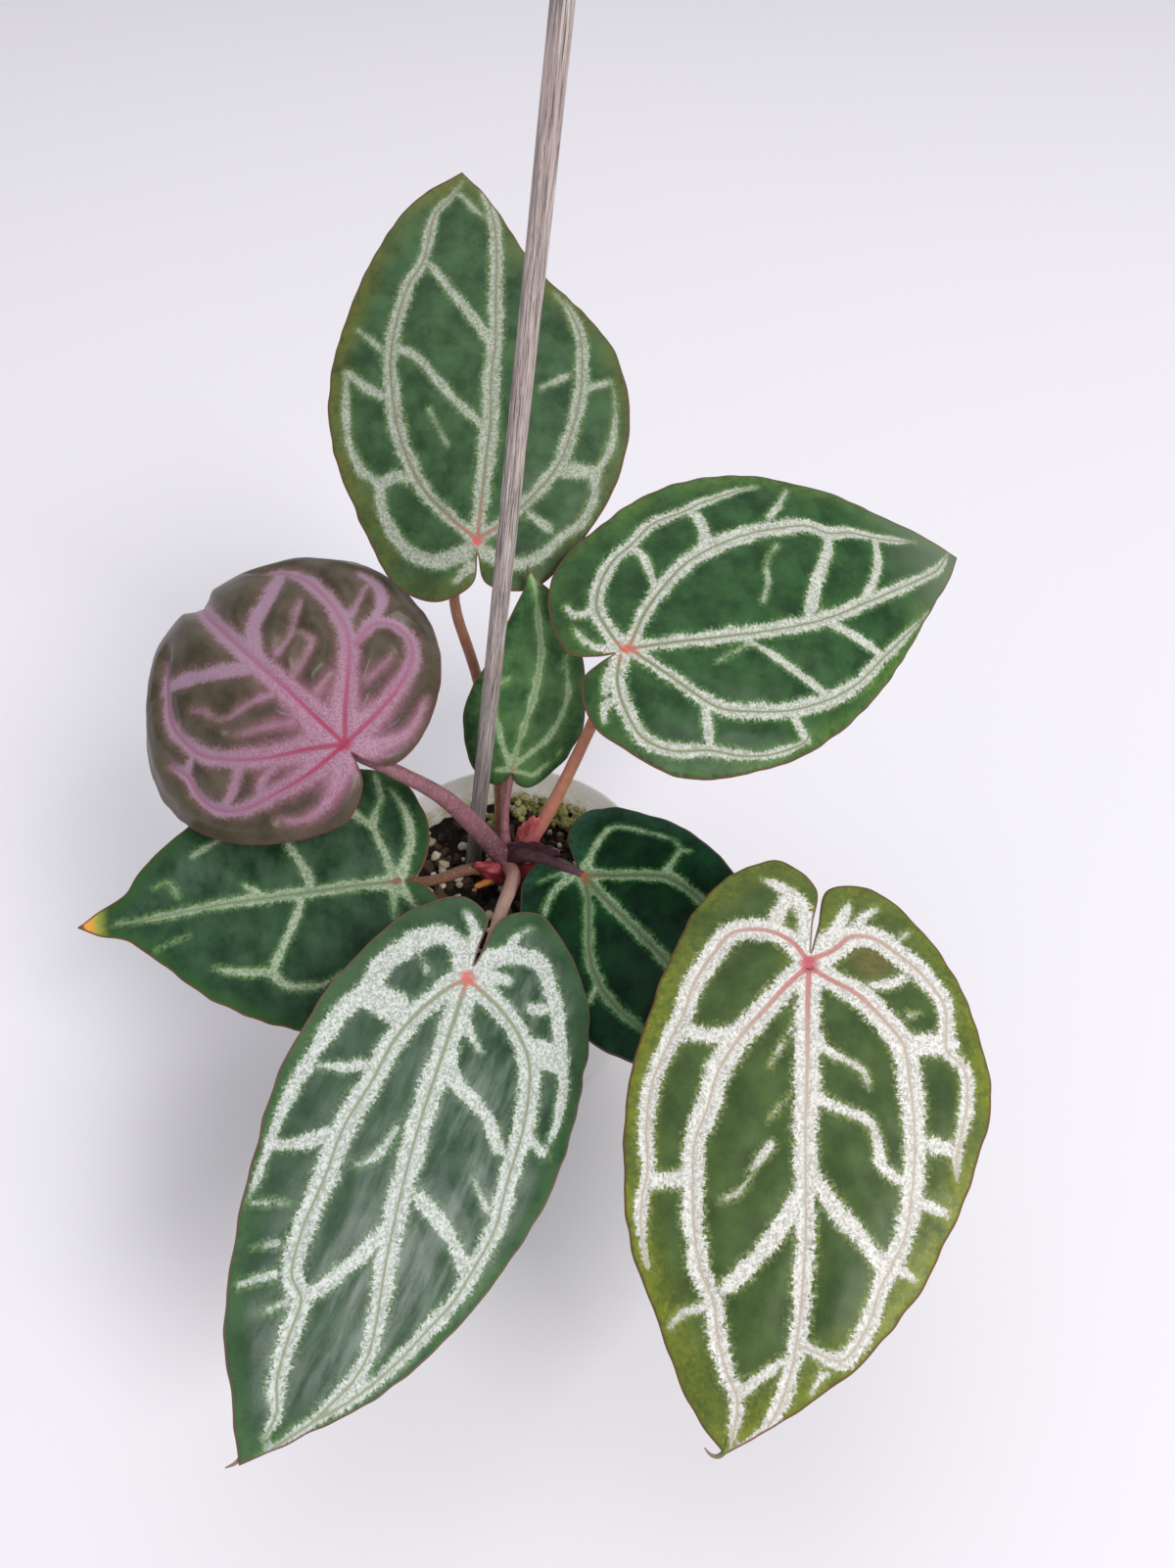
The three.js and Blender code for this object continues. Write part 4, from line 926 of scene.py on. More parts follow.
def blade_measures(shader, name, look):
    """What drives the face's layers: the mesh's own measures in mm, and noises over the flat blade."""
    flat = shader.attribute("flat")
    at = SimpleNamespace(flat=flat, width=shader.number("width"))
    at.forward, at.sideways, _ = shader.split(flat)
    at.band, at.along, at.cord = shader.split(shader.attribute("veins"))
    at.edge, at.reach, at.share = shader.split(shader.attribute("layout"))
    fineness = YOUNG_FINENESS if name == "young" else 1.0
    cells = shader.node("TexVoronoi", {"Vector": flat, "Scale": CELL_SCALE * fineness}, "Color")
    at.sparkle = shader.node("SeparateColor", {0: cells})
    at.grain = shader.noise(flat, 1.9 * fineness, 2.0, 0.75)
    at.fleck = shader.noise(flat, 0.75, 4.0, 0.7)
    at.blotch = shader.noise(flat, 0.4, 4.0, 0.65)
    at.outside = distance_outside_silver(shader, look, LEAVES[name]["teeth"], at)
    at.margin = margin_strength(shader, look, at)
    return at


def distance_outside_silver(shader, look, teeth, at):
    """The bands merge round the junction, and their edges are combed into fine teeth that point away from the
    vein."""
    comb = shader.noise(shader.combine(at.along * 1.7, at.band * 0.5), 1.0, 3.0, 0.7)
    fringe = shader.noise(at.flat, 0.85, 3.0, 0.65)
    wander = shader.noise(at.flat, 0.15, 2.0)
    merge, merge_reach = look["merge"]
    merged = at.band - at.reach.steps(merge_reach, 1.0, 0.0, merge)
    tooth = (comb.swing(2.4) + fringe.swing(2.2)) * at.width.steps(0.3, 2.2, 0.4 * teeth, teeth)
    return merged + tooth + wander.swing(2.2) + at.sparkle.swing(0.35 + 0.7 * look["soft"])


def margin_strength(shader, look, at):
    """How far the blade has turned to its margin's colour: in patches along the edge, each side by its own
    strength. On the inner leaf this dark margin is painted shade, strongest on its left side."""
    left, right = look["sides"]
    patchy = shader.noise(at.flat, 0.07, 3.0).steps(0.3, 0.6, 0.35, 1.0)
    strength = patchy * at.sideways.steps(-6.0, 6.0, right, left) * at.share.steps(-0.25, 0.3, *look["lobes"])
    rim_zone = (at.edge + at.fleck.swing(4.0)).steps(look["margin_reach"], 0.5)
    return strength * at.blotch.steps(0.36, 0.56, 0.45, 1.0) * rim_zone


def islet_colour(shader, look, at):
    """Mottled green, stippled with silver beside the bands and turning to the margin's colour."""
    mottle = shader.noise(at.flat, 0.09, 4.0, 0.6)
    near = at.outside.steps(2.2, 0.2)
    colour = shader.layers(look["deep"],
                           (mottle, 0.3, 0.7, 1.0, look["light"]),
                           (at.fleck, 0.5, 0.75, 0.35, look["light"]),
                           (at.fleck, 0.45, 0.25, 0.45, look["deep"]))
    colour = shader.mix(near * 0.35, colour, look["light"])
    colour = shader.mix(near * at.sparkle.steps(0.62, 0.9, 0.0, 0.45), colour, look["silver"])
    colour = shader.mix(at.margin, colour, look["margin"])
    beside = at.outside.steps(1.6, 0.4) * at.fleck.steps(0.4, 0.6, 0.0, 0.6)
    return shader.mix(beside, colour, look["halo"])


def own_marks(shader, name, look, at, colour):
    """The islets' colour, with the marks that one leaf alone has, and painted sheen on the right, left and
    front left leaves.
    """
    if name == "front_right":
        colour = shader.mix(at.margin * at.sparkle.steps(0.8, 0.95, 0.0, 0.4), colour, "#a39a3e")
        away = shader.node("VectorMath", {0: at.flat, 1: STAIN_PLACE}, "Value", operation="DISTANCE")
        stain = (away + at.fleck.swing(7.0)).steps(8.0, 3.5, 0.0, 0.8) * at.fleck.steps(0.38, 0.5, 0.3, 1.0)
        return shader.mix(stain, colour, shader.mix(at.blotch, "#4f4a26", "#8a7f4c"))
    if name == "right":
        # Painted sheen: a grey veil over the outer part of the blade towards its tip.
        return shader.mix(at.share.steps(0.68, 0.95, 0.0, 0.7), colour, "#6f7c68")
    if name == "left":
        # Painted sheen: grey-green patches over the islets, mostly on the blade's right half and away from the
        # edge.
        painted_sheen_patches = shader.noise(shader.combine(at.forward * 0.11, at.sideways * 0.06), 1.0, 5.0, 0.65)
        painted_sheen_patches = painted_sheen_patches.steps(0.38, 0.66) * at.sideways.steps(8.0, -6.0, 0.12, 0.4) * at.edge.steps(2.0, 9.0)
        return shader.mix(painted_sheen_patches, colour, "#5d7560")
    if name == "young":
        haze = at.outside.steps(3.6, 0.2) * at.reach.steps(38.0, 10.0, 0.15, 0.8)
        return shader.mix(haze, colour, look["silver"])
    if name == "front_left":
        # Painted sheen: pale grey streaks along the blade, stronger on its left half and away from the edge.
        streak = shader.noise(shader.combine(at.forward * 0.05, at.sideways * 0.22), 1.0, 4.0, 0.6)
        painted_sheen_streaks = streak.steps(0.4, 0.68) * at.sideways.steps(-14.0, 12.0, 0.2, 0.55) * at.edge.steps(3.0, 11.0)
        return shader.mix(painted_sheen_streaks, colour, "#828e83")
    return colour


def silver_colour(shader, name, look, at):
    """Sparkling grain, a little duller beside each cord: partly the vein's own colour, partly painted shade in
    the cord's groove.
    """
    glint = at.sparkle * 0.55 + at.grain * 0.9
    colour = shader.mix(glint.steps(0.35, 1.05), look["silver"], look["bright"])
    if name == "young":
        colour = shader.mix(at.reach.steps(16.0, 48.0, 0.0, 0.6), colour, "#9d8598")
    # Partly painted shade: the silver turns to its darker colour beside each cord, in the groove along it.
    dulled, dull_reach = look["dusk"]
    return shader.mix(at.cord.steps(dull_reach, 0.5, 0.0, dulled), colour, look["silver"])


def lines_over(shader, name, look, at, colour):
    """The colour with the cords over it, redder and wider towards the junction, the spot where they meet, the
    left leaf's burnt tip and the rim."""
    thick, thin = look["cord"]
    half_cord = at.reach.steps(3.0, LEAVES[name]["length"] * 0.4, thick, thin)
    tint = shader.mix(at.reach.steps(look["glow"], 3.0, 0.0, look["flush"]), look["line"], look["heart"])
    colour = shader.mix((at.cord - half_cord).steps(0.22, -0.22, 0.0, 0.85), colour, tint)
    spot = at.reach + at.fleck.swing(2.0)
    colour = shader.mix(spot.steps(*look["spot"], 0.0, 0.85), colour, look["heart"])
    if name == "left":
        tip = at.share + at.fleck.swing(0.03)
        colour = shader.layers(colour, *((tip, low, high, 1.0, burnt) for low, high, burnt in BURNT_TIP))
    return shader.mix(at.edge.steps(0.7, 0.25, 0.0, 0.85), colour, look["rim"])


def blade_face_material(name):
    """Upper face: green islets between feathery silver bands, each main with a thin coloured cord."""
    look = look_of(name)
    shader = Shader("blade_face_" + name)
    at = blade_measures(shader, name, look)
    silver = at.outside.steps(0.1 + look["soft"], 0.1 - look["soft"]) * at.width.steps(0.2, 1.1, 0.6, 1.0)
    islet = own_marks(shader, name, look, at, islet_colour(shader, look, at))
    colour = shader.mix(silver, islet, silver_colour(shader, name, look, at))
    colour = lines_over(shader, name, look, at, colour)
    skin = shader.noise(at.flat, 1.3, 3.0, 0.6)
    rough = (silver * 0.7 + skin * 0.4).steps(0.0, 1.1, *look["gloss"])
    relief = skin * 0.6 + at.grain * silver
    return shader.finish(colour, rough, (relief, 0.14, 0.6), Specular_IOR_Level=look["shine"])


def blade_under_material(name):
    """Underside: paler and duller, with reddish ribs."""
    look = look_of(name)
    shader = Shader("blade_under_" + name)
    flat = shader.attribute("flat")
    band, _, cord = shader.split(shader.attribute("veins"))
    edge = shader.split(shader.attribute("layout"))[0]
    mottle = shader.noise(flat, 0.14, 4.0, 0.6)
    grain = shader.noise(flat, 1.8, 3.0, 0.6)
    colour = shader.layers(look["light"],
                           (mottle, 0.3, 0.7, 1.0, "#7f5e60" if name == "young" else "#7c9270"),
                           (band, 1.2, -1.0, 0.5, "#9fae8c"),
                           (cord, 1.6, 0.4, 0.85, "#8f5c4a"),
                           (edge, 0.7, 0.3, 1.0, look["rim"]))
    return shader.finish(colour, grain.steps(0.3, 0.7, 0.5, 0.62), (grain, 0.1, 0.5))


def blade_rim_material(name):
    """The thin red-brown edge."""
    shader = Shader("blade_rim_" + name)
    grain = shader.noise(shader.place(), 0.6, 3.0)
    colour = shader.mix(grain.steps(0.35, 0.65), look_of(name)["rim"], "#8a5f4a")
    return shader.finish(colour, grain.steps(0.3, 0.7, 0.42, 0.55))


def hook_material(name):
    """As the margin at its root, brown at its end."""
    look = look_of(name)
    shader = Shader("tip_" + name)
    grain = shader.noise(shader.place(), 0.9, 3.0)
    green = shader.mix(grain.steps(0.3, 0.7), look["margin"], look["light"])
    colour = shader.mix(shader.number("share").steps(0.35, 0.7), green, "#8b7468")
    return shader.finish(colour, grain.steps(0.3, 0.7, 0.4, 0.55))


# Swept pieces

def tube_faces(rows, sides):
    """Faces round rows of points and over both ends, whose middle points follow the rows."""
    faces = []
    for i in range(rows - 1):
        for j in range(sides):
            a, b = i * sides + j, i * sides + (j + 1) % sides
            faces.append((a, b, b + sides, a + sides))
    top, start = (rows - 1) * sides, rows * sides
    for j in range(sides):
        faces.append((start, (j + 1) % sides, j))
        faces.append((start + 1, top + j, top + (j + 1) % sides))
    return faces


def path_length(path):
    """Length in mm of the curve through a path's points."""
    return float(np.linalg.norm(np.diff(smooth_line(path, PATH_STEP), axis=0), axis=1).sum())


def skin_noise(scale, angle, along):
    """Noise round a body, which meets itself after a turn."""
    return bumpy(scale * math.cos(angle), scale * math.sin(angle), along)


def sweep(path, radii, sides, rings, shape=None):
    """Points and faces of a closed round body along a path, and attributes: each point's share of the way along
    and its place on the unrolled skin in mm. shape(t, angle) scales the radius."""
    centres, length = resample(smooth_line(path, PATH_STEP), lambda _: rings)
    tangents = unit(np.gradient(centres, axis=0))
    up = np.array(FIRST_UP)
    points = []
    for i, (centre, ahead) in enumerate(zip(centres, tangents)):
        side = unit(np.cross(ahead, up))
        up = np.cross(side, ahead)
        t = i / rings
        radius = np.interp(t, np.linspace(0, 1, len(radii)), radii)
        for j in range(sides):
            angle = TURN * j / sides
            reach = radius * (shape(t, angle) if shape else 1.0)
            points.append(centre + reach * (math.cos(angle) * side + math.sin(angle) * up))
    share = np.append(np.repeat(np.arange(rings + 1) / rings, sides), [0.0, 1.0])
    angles = TURN * np.append(np.tile(np.arange(sides) / sides, rings + 1), [0.0, 0.0])
    skin = np.column_stack([np.cos(angles), np.sin(angles), share * length])
    points = np.vstack([points, centres[:1], centres[-1:]])
    return points, tube_faces(rings + 1, sides), {"share": share, "skin": skin}


def build_stalk(name, leaf):
    """A stalk with a shallow channel on one side and a thicker joint below the blade."""
    length = path_length(leaf["stalk"])
    seed = 11.0 + 3.7 * len(name) + ord(name[0])

    def shape(t, angle):
        lump = skin_noise(2.2, angle, t * length * 0.16 + seed)
        fine = skin_noise(5, angle, t * length * 0.7 + seed)
        channel = 0.10 * math.exp(-((angle - 1.9) / 0.45) ** 2)
        knee = 0.14 * math.exp(-(((1 - t) * length - 7.0) / 3.2) ** 2)
        return 1.0 + 0.05 * lump + 0.02 * fine - channel + knee

    rings = max(30, int(length * 1.2))
    points, faces, attributes = sweep(leaf["stalk"], leaf["stalk_radii"], STALK_SIDES, rings, shape)
    piece, node = "stalk_" + name, "leaf_stalk_" + name
    make_piece(piece, points, faces, [stalk_material(name, leaf)], leaf["stalk_slot"], node, attributes)


def stalk_material(name, leaf):
    """Skin in the colours of its foot, middle and top, dusted with pale specks. The right stalk's darker top is
    painted shade.
    """
    foot, middle, top = leaf["stalk_colours"]
    shader = Shader("stalk_" + name)
    share = shader.number("share")
    skin = shader.attribute("skin")
    speckle = shader.noise(skin, 2.4, 2.0, 0.7)
    blotch = shader.noise(skin, 0.5, 3.0)
    streak = shader.noise(shader.place(), 0.35, 3.0)
    colour = shader.layers(foot,
                           (share, 0.02, 0.35, 1.0, middle),
                           (share, 0.75, 1.0, 1.0, top),
                           (blotch, 0.35, 0.75, 0.45, foot),
                           (streak, 0.45, 0.8, 0.3, top),
                           (speckle, 0.56, 0.66, leaf["specks"], "#c49a92"))
    return shader.finish(colour, blotch.steps(0.3, 0.7, 0.42, 0.58), (speckle, 0.12, 0.5))


# Stake

def build_stake():
    """A leaning round stick of weathered wood, its grain open in lengthwise fissures."""
    length = path_length(STAKE_PATH)

    def shape(t, angle):
        fissure = max(0.0, skin_noise(5.12, angle, t * length * 0.0192) - 0.2)
        return 1.0 - 0.4 * fissure + 0.04 * skin_noise(1, angle, t * length * 0.02)

    points, faces, attributes = sweep(STAKE_PATH, [STAKE_RADIUS] * 2, STAKE_SIDES, STAKE_RINGS, shape)
    make_piece("stake_wood", points, faces, [stake_material()], "stake_wood", "stake", attributes)


def stake_material():
    """Lengthwise fibres and fissures, with painted shade that darkens it towards the foot."""
    shader = Shader("weathered_wood")
    x, y, z = shader.split(shader.attribute("skin"))
    share = shader.number("share")
    fibre = shader.noise(shader.combine(x * 7.0, y * 7.0, z * 0.05), 1.0, 5.0, 0.7)
    fine = shader.noise(shader.combine(x * 11.0, y * 11.0, z * 0.09), 1.0, 4.0, 0.7)
    patch = shader.noise(shader.place(), 0.035, 3.0)
    colour = shader.layers("#857a76",
                           (fibre, 0.4, 0.58, 1.0, "#d9cdc6"),
                           (patch, 0.4, 0.65, 0.5, "#c0aaa5"),
                           (fine, 0.51, 0.6, 0.85, "#544a47"),
                           (fine, 0.38, 0.25, 0.45, "#cdbfba"),
                           # Painted shade: darker towards the foot, where the leaves above shade the stake.
                           (share, 0.6, 0.1, 0.75, "#595655"))
    return shader.finish(colour, fibre.steps(0.3, 0.7, 0.7, 0.85), (fibre - fine, 0.25, 0.8))


# Crown

def sheath_points(foot, tip, facing, width, hollow):
    """A pointed, hollow papery scale with a wavy, slightly torn edge."""
    foot, along = np.array(foot, float), np.subtract(tip, foot)
    across = unit(np.cross(along, facing))
    out = unit(np.cross(across, along))
    rows, columns = SHEATH_ROWS, SHEATH_COLUMNS
    points, faces = [], []
    for layer in (-1, 1):
        for i in range(rows + 1):
            t = i / rows
            half = width * (1 - SHEATH_TAPER * t * t) / 2
            for j in range(columns + 1):
                u = 2 * j / columns - 1
                crumple = SHEATH_CRUMPLE * bumpy(u * 2.2, t * 3.0, foot[0])
                lift = crumple - hollow * u * u * (1 - SHEATH_FLATTENING * t)
                ragged = 0.25 * bumpy(u * 3, t * 7, foot[1]) * abs(u) ** 3
                thick = layer * SHEATH_THICKNESS / 2 * (1 - 0.5 * u * u)
                points.append(foot + along * t + across * half * (u + ragged) + out * (lift + thick))
    stride, size = columns + 1, (columns + 1) * (rows + 1)
    for i in range(rows):
        for j in range(columns):
            a = i * stride + j
            faces.append((a, a + stride, a + stride + 1, a + 1))
            faces.append((size + a, size + a + 1, size + a + stride + 1, size + a + stride))
    loop = list(range(columns + 1))
    loop += [i * stride + columns for i in range(1, rows + 1)]
    loop += [rows * stride + j for j in range(columns - 1, -1, -1)]
    loop += [i * stride for i in range(rows - 1, 0, -1)]
    for a, b in zip(loop, loop[1:] + loop[:1]):
        faces.append((a, b, b + size, a + size))
    return points, faces


def build_crown():
    """A short ringed stem with its papery sheaths."""
    def shape(t, angle):
        return 1.0 + 0.05 * math.sin(t * 46) + 0.14 * skin_noise(2, angle, t * 6)

    points, faces, _ = sweep(CROWN_PATH, CROWN_RADII, CROWN_SIDES, CROWN_RINGS, shape)
    make_piece("crown_stem", points, faces, [crown_stem_material()], "crown", "crown")
    skins = {skin: sheath_material(skin + "_sheath", *colours) for skin, colours in SHEATH_SKINS.items()}
    for number, (*form, skin) in enumerate(SHEATHS, 1):
        points, faces = sheath_points(*form)
        make_piece("crown_sheath_%d" % number, points, faces, [skins[skin]], "crown")


def crown_stem_material():
    """Blotched red-brown skin."""
    shader = Shader("crown_stem")
    place = shader.place()
    blotch = shader.noise(place, 0.35, 4.0, 0.6)
    grain = shader.noise(place, 1.8, 3.0)
    colour = shader.layers("#4a2a26", (blotch, 0.35, 0.65, 1.0, "#7f3a38"), (grain, 0.55, 0.75, 0.6, "#8a6a55"))
    return shader.finish(colour, grain.steps(0.3, 0.7, 0.5, 0.72), (grain, 0.3, 0.7))


def sheath_material(name, deep, pale, veins):
    """Papery scale, faintly see-through."""
    shader = Shader(name)
    place = shader.place()
    blotch = shader.noise(place, 0.28, 3.0)
    vein = shader.noise(place, 1.2, 4.0, 0.65)
    colour = shader.layers(deep, (blotch, 0.35, 0.65, 1.0, pale), (vein, 0.5, 0.75, 0.65, veins))
    return shader.finish(colour, vein.steps(0.3, 0.7, 0.36, 0.52), (vein, 0.25, 0.7),
                         Subsurface_Weight=0.3, Subsurface_Scale=1.5 * MM)


# Air root and side shoot

def build_stub(name, path, radii, slot, material):
    """A short round stub with a rounded end."""
    length = path_length(path)

    def shape(t, angle):
        cap = math.sqrt(max(0.02, 1 - max(0.0, (t - 0.88) / 0.12) ** 2))
        return cap * (1 + 0.08 * skin_noise(1.5, angle, t * length * 0.3))

    points, faces, attributes = sweep(path, radii, STUB_SIDES, STUB_RINGS, shape)
    make_piece(name, points, faces, [material], slot, slot, attributes)


def stub_material(name, base, tip, spots):
    """Skin that changes from its foot to its tip, with spots."""
    shader = Shader(name)
    share = shader.number("share")
    place = shader.place()
    blotch = shader.noise(place, 0.5, 3.0)
    grain = shader.noise(place, 2.5, 2.0)
    colour = shader.layers(base, (share, 0.3, 0.95, 1.0, tip), (blotch, 0.45, 0.75, 0.5, spots))
    return shader.finish(colour, grain.steps(0.3, 0.7, 0.42, 0.6), (grain, 0.15, 0.6))


# Pot

def pot_inner_radius(z):
    """Radius of the pot's hollow at a height."""
    return POT_BASE_RADIUS + POT_TAPER * z - POT_WALL


def lathe(profile, sides):
    """Points and faces of a profile of (radius, height), with its ends on the axis, turned round it."""
    rows = profile[1:-1]
    turns = [TURN * j / sides for j in range(sides)]
    points = [(r * math.cos(angle), r * math.sin(angle), z) for r, z in rows for angle in turns]
    points += [(0, 0, profile[0][1]), (0, 0, profile[-1][1])]
    return np.array(points), tube_faces(len(rows), sides)


def rounded(profile, radius=0.35, steps=3):
    """The profile with a small round at each inner corner."""
    p = [np.array(q, float) for q in profile]
    made = [p[0]]
    for before, corner, after in zip(p, p[1:], p[2:]):
        back, ahead = before - corner, after - corner
        cut = min(radius, 0.4 * np.linalg.norm(back), 0.4 * np.linalg.norm(ahead))
        start, end = corner + unit(back) * cut, corner + unit(ahead) * cut
        for k in range(steps + 1):
            t = k / steps
            made.append((1 - t) ** 2 * start + 2 * t * (1 - t) * corner + t * t * end)
    return made + [p[-1]]


def build_pot():
    """A thin milky pot with a raised band under its rolled rim and a slightly dished base."""
    base, rim, foot, top = POT_BASE_RADIUS, POT_RIM_RADIUS, POT_BAND_FOOT, POT_HEIGHT
    inside = pot_inner_radius(foot)
    profile = [(0, POT_FOOT_RISE), (base - 4, POT_FOOT_RISE), (base - 3, 0), (base - 1, 0), (base, 1)]
    for k in range(1, POT_SIDE_ROWS + 1):
        t = k / POT_SIDE_ROWS
        profile.append((base + (POT_NECK_RADIUS - base) * t, 1 + (foot - 1) * t))
    profile += [(rim - 0.6, foot + 0.5), (rim, foot + 1.0), (rim, top - 0.8), (rim - 0.5, top),
                (rim - POT_WALL, top), (inside + 0.4, foot + 1), (inside, foot),
                (pot_inner_radius(POT_FLOOR), POT_FLOOR), (0, POT_FLOOR)]
    points, faces = lathe(rounded(profile), POT_SIDES)
    make_piece("nursery_pot", points, faces, [pot_material()], "pot_plastic", "pot")


def pot_material():
    """Milky plastic, stained beige and green inside above the mix."""
    shader = Shader("milky_plastic")
    place = shader.place()
    x, y, z = shader.split(place)
    wall = shader.math("SQRT", x * x + y * y) - z * POT_TAPER
    inner = wall.steps(POT_BASE_RADIUS - 0.5, POT_BASE_RADIUS - 0.9)
    stain = inner * z.steps(90.0, 77.0) * shader.noise(place, 0.16, 5.0, 0.65).steps(0.42, 0.6)
    speck = shader.noise(place, 0.7, 4.0, 0.7)
    colour = shader.mix(speck.steps(0.3, 0.7), "#efece4", "#f7f5f0")
    colour = shader.mix(stain * 0.8, colour, "#c4bb93")
    colour = shader.mix(stain * speck.steps(0.52, 0.66), colour, "#5f6a34")
    colour = shader.mix(speck.steps(0.6, 0.75, 0.0, 0.25) * z.steps(40.0, 0.0), colour, "#b9ae9b")
    return shader.finish(colour, speck.steps(0.3, 0.7, 0.3, 0.42), (shader.noise(place, 0.12, 3.0), 0.25, 0.4),
                         Subsurface_Weight=0.85, Subsurface_Radius=(1.0, 0.95, 0.85),
                         Subsurface_Scale=6.0 * MM, IOR=1.49)


# Potting mix

def make_ball(subdivisions):
    """Points and faces of the ball that the lumps are cut from."""
    shape = bmesh.new()
    bmesh.ops.create_icosphere(shape, subdivisions=subdivisions, radius=1.0)
    shape.verts.index_update()
    points = np.array([tuple(v.co) for v in shape.verts])
    faces = [tuple(v.index for v in face.verts) for face in shape.faces]
    shape.free()
    return points, faces


def chunk(source, ball, size, stretch, cuts, roughness):
    """Points of one angular lump: the ball flattened by a few random planes and roughened."""
    points = ball.copy()
    for _ in range(cuts):
        normal = unit(np.array([source.gauss(0, 1) for _ in range(3)]))
        over = points @ normal - source.uniform(0.45, 0.8)
        points -= np.maximum(over, 0)[:, None] * normal
    offset = source.uniform(0, 100)
    bumps = np.array([noise.noise(Vector(p) * 2.6 + Vector((offset, 0, 0))) for p in points])
    points *= (1 + roughness * bumps)[:, None] * np.array(stretch) * size
    turn = Euler([source.uniform(0, TURN) for _ in range(3)]).to_matrix()
    return points @ np.array(turn).T


def scatter(name, seed, ball, place_of):
    """One piece made of many loose lumps, each with its own shade in the "tone" attribute."""
    count, sizes, across, upright, cuts, roughness = LUMPS[name]
    source = random.Random(seed)
    ball_points, ball_faces = ball
    points, faces, tones = [], [], []
    for i in range(count):
        size = source.uniform(*sizes)
        stretch = (1.0, source.uniform(*across), source.uniform(*upright))
        lump = chunk(source, ball_points, size, stretch, cuts, roughness)
        points.append(lump + np.array(place_of(source, i, size)))
        faces += [tuple(v + i * len(lump) for v in face) for face in ball_faces]
        tones.append(np.full(len(lump), source.random()))
    material = lump_material(name)
    attributes = {"tone": np.concatenate(tones)}
    make_piece(name, np.vstack(points), faces, [material], "potting_mix", "potting_mix", attributes)


def on_mix(radius, angle, rise):
    """A place over the mix, so far from the pot's axis."""
    return radius * math.cos(angle), radius * math.sin(angle), SOIL_LEVEL + rise


def bark_place(source, i, size):
    """Evenly over the mix, along a sunflower's spiral."""
    radius = (MIX_RADIUS - size - 0.8) * math.sqrt((i + 0.5) / BARK_COUNT)
    angle = i * GOLDEN_ANGLE + source.uniform(0, 0.5)
    return on_mix(radius, angle, source.uniform(-1.2, 0.8) - 0.3 * size)


def pumice_place(source, i, size):
    """Anywhere on the mix."""
    radius = (MIX_RADIUS - size - 0.8) * math.sqrt(source.random())
    angle = source.uniform(0, TURN)
    return on_mix(radius, angle, source.uniform(-0.5, 1.6))


def moss_place(source, i, size):
    """Moss clings to the back right of the mix and climbs the pot's wall a little."""
    angle = math.radians(source.gauss(62, 26))
    radius = MIX_RADIUS - size - abs(source.gauss(0, 6))
    return on_mix(radius, angle, source.uniform(0.0, 3.2))


def build_mix():
    """A plug with an uneven top, and the loose lumps on it."""
    foot = POT_FLOOR + SOIL_GAP
    edge = MIX_RADIUS - SOIL_GAP
    profile = [(0, foot), (pot_inner_radius(foot) - SOIL_GAP, foot), (edge, SOIL_LEVEL - 1.2)]
    profile += [(edge * (1 - k / SOIL_ROWS), SOIL_LEVEL - 0.8) for k in range(1, SOIL_ROWS)]
    points, faces = lathe([*profile, (0, SOIL_LEVEL - 0.8)], SOIL_SIDES)
    uneven = np.array([noise.noise(Vector(p) * 0.35) + 0.6 * noise.noise(Vector(p) * 0.9) for p in points])
    points[:, 2] += np.where(points[:, 2] > SOIL_LEVEL - 2, 1.3 * uneven, 0)
    make_piece("mix_body", points, faces, [lump_material("mix_soil")], "potting_mix", "potting_mix")
    ball = make_ball(3)
    scatter("mix_bark", MIX_SEED, ball, bark_place)
    scatter("mix_pumice", MIX_SEED + 1, ball, pumice_place)
    scatter("mix_moss", MIX_SEED + 2, ball, moss_place)


def lump_material(name):
    """Soil or loose lumps, each lump in its own shade."""
    dark, light, spots, rough_range, scale, depth = MIX_SKINS[name]
    shader = Shader(name)
    place = shader.place()
    tone = shader.number("tone")
    blotch = shader.noise(place, scale * 0.4, 4.0, 0.6)
    grain = shader.noise(place, scale, 5.0, 0.7)
    mixed = tone * 0.6 + blotch * 0.5
    colour = shader.layers(dark, (mixed, 0.2, 0.85, 1.0, light), (grain, 0.56, 0.7, 0.6, spots))
    return shader.finish(colour, grain.steps(0.3, 0.7, *rough_range), (grain, depth, 0.9))


# Studio

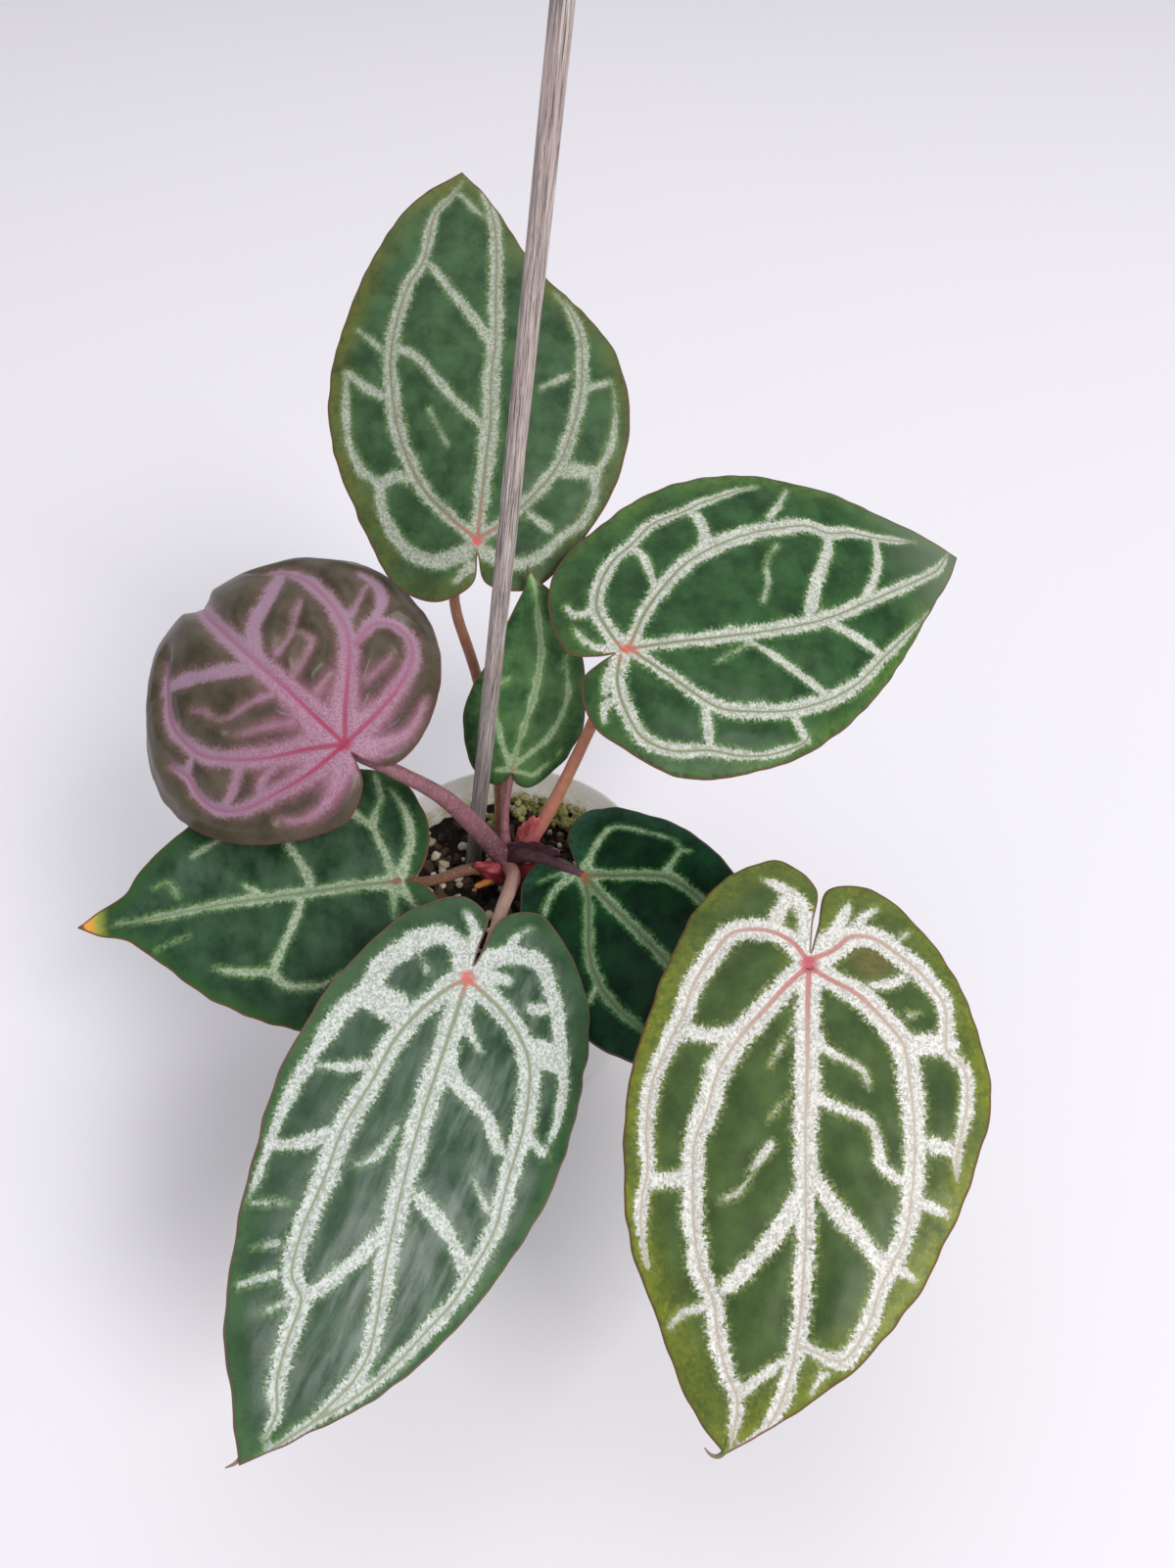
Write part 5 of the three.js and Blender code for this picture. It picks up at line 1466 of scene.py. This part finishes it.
def build_stage():
    """A pale floor, a wide soft light overhead, a stronger one in front on the right, the room's own soft
    light, and the camera."""
    scene = bpy.context.scene
    mesh = bpy.data.meshes.new("floor")
    corners = [(x * FLOOR_HALF, y * FLOOR_HALF, 0) for x, y in ((-1, -1), (1, -1), (1, 1), (-1, 1))]
    mesh.from_pydata(corners, [], [(0, 1, 2, 3)])
    shader = Shader("pale_floor")
    colour = shader.mix(shader.noise(shader.place(1.0), 1.5, 2.0), "#f0eff6", "#f5f2f7")
    mesh.materials.append(shader.finish(colour, 0.7, Specular_IOR_Level=0.2))
    new_object("floor", mesh)

    for name, (place, aim, size, power, tint) in LAMPS.items():
        data = bpy.data.lights.new(name, "AREA")
        data.shape = "SQUARE"
        data.size = size
        data.energy = power
        data.color = tint
        lamp = new_object(name, data)
        lamp.location = place
        lamp.rotation_euler = (Vector(aim) - Vector(place)).to_track_quat("-Z", "Y").to_euler()

    world = bpy.data.worlds.new("studio")
    world.use_nodes = True
    world.node_tree.nodes["Background"].inputs["Color"].default_value = ROOM_COLOUR
    world.node_tree.nodes["Background"].inputs["Strength"].default_value = ROOM_STRENGTH
    scene.world = world
    scene.view_settings.view_transform = "Standard"

    data = bpy.data.cameras.new("camera")
    data.lens = CAMERA_LENS
    data.sensor_width = CAMERA_SENSOR
    data.clip_start = 0.01
    camera = new_object("camera", data)
    camera.location = CAMERA_PLACE
    camera.rotation_euler = (math.radians(90 - CAMERA_PITCH_DOWN), 0, 0)
    scene.camera = camera


# The whole plant

build_stage()
for leaf_name, leaf_data in LEAVES.items():
    build_blade(leaf_name, leaf_data)
    build_stalk(leaf_name, leaf_data)
for leaf_name in HOOKS:
    build_hook(leaf_name)
build_stake()
build_crown()
build_stub("air_root_tip", ROOT_PATH, ROOT_RADII, "air_root", stub_material("root_skin", *ROOT_SKIN))
build_stub("side_shoot_stub", SHOOT_PATH, SHOOT_RADII, "side_shoot", stub_material("shoot_skin", *SHOOT_SKIN))
build_pot()
build_mix()
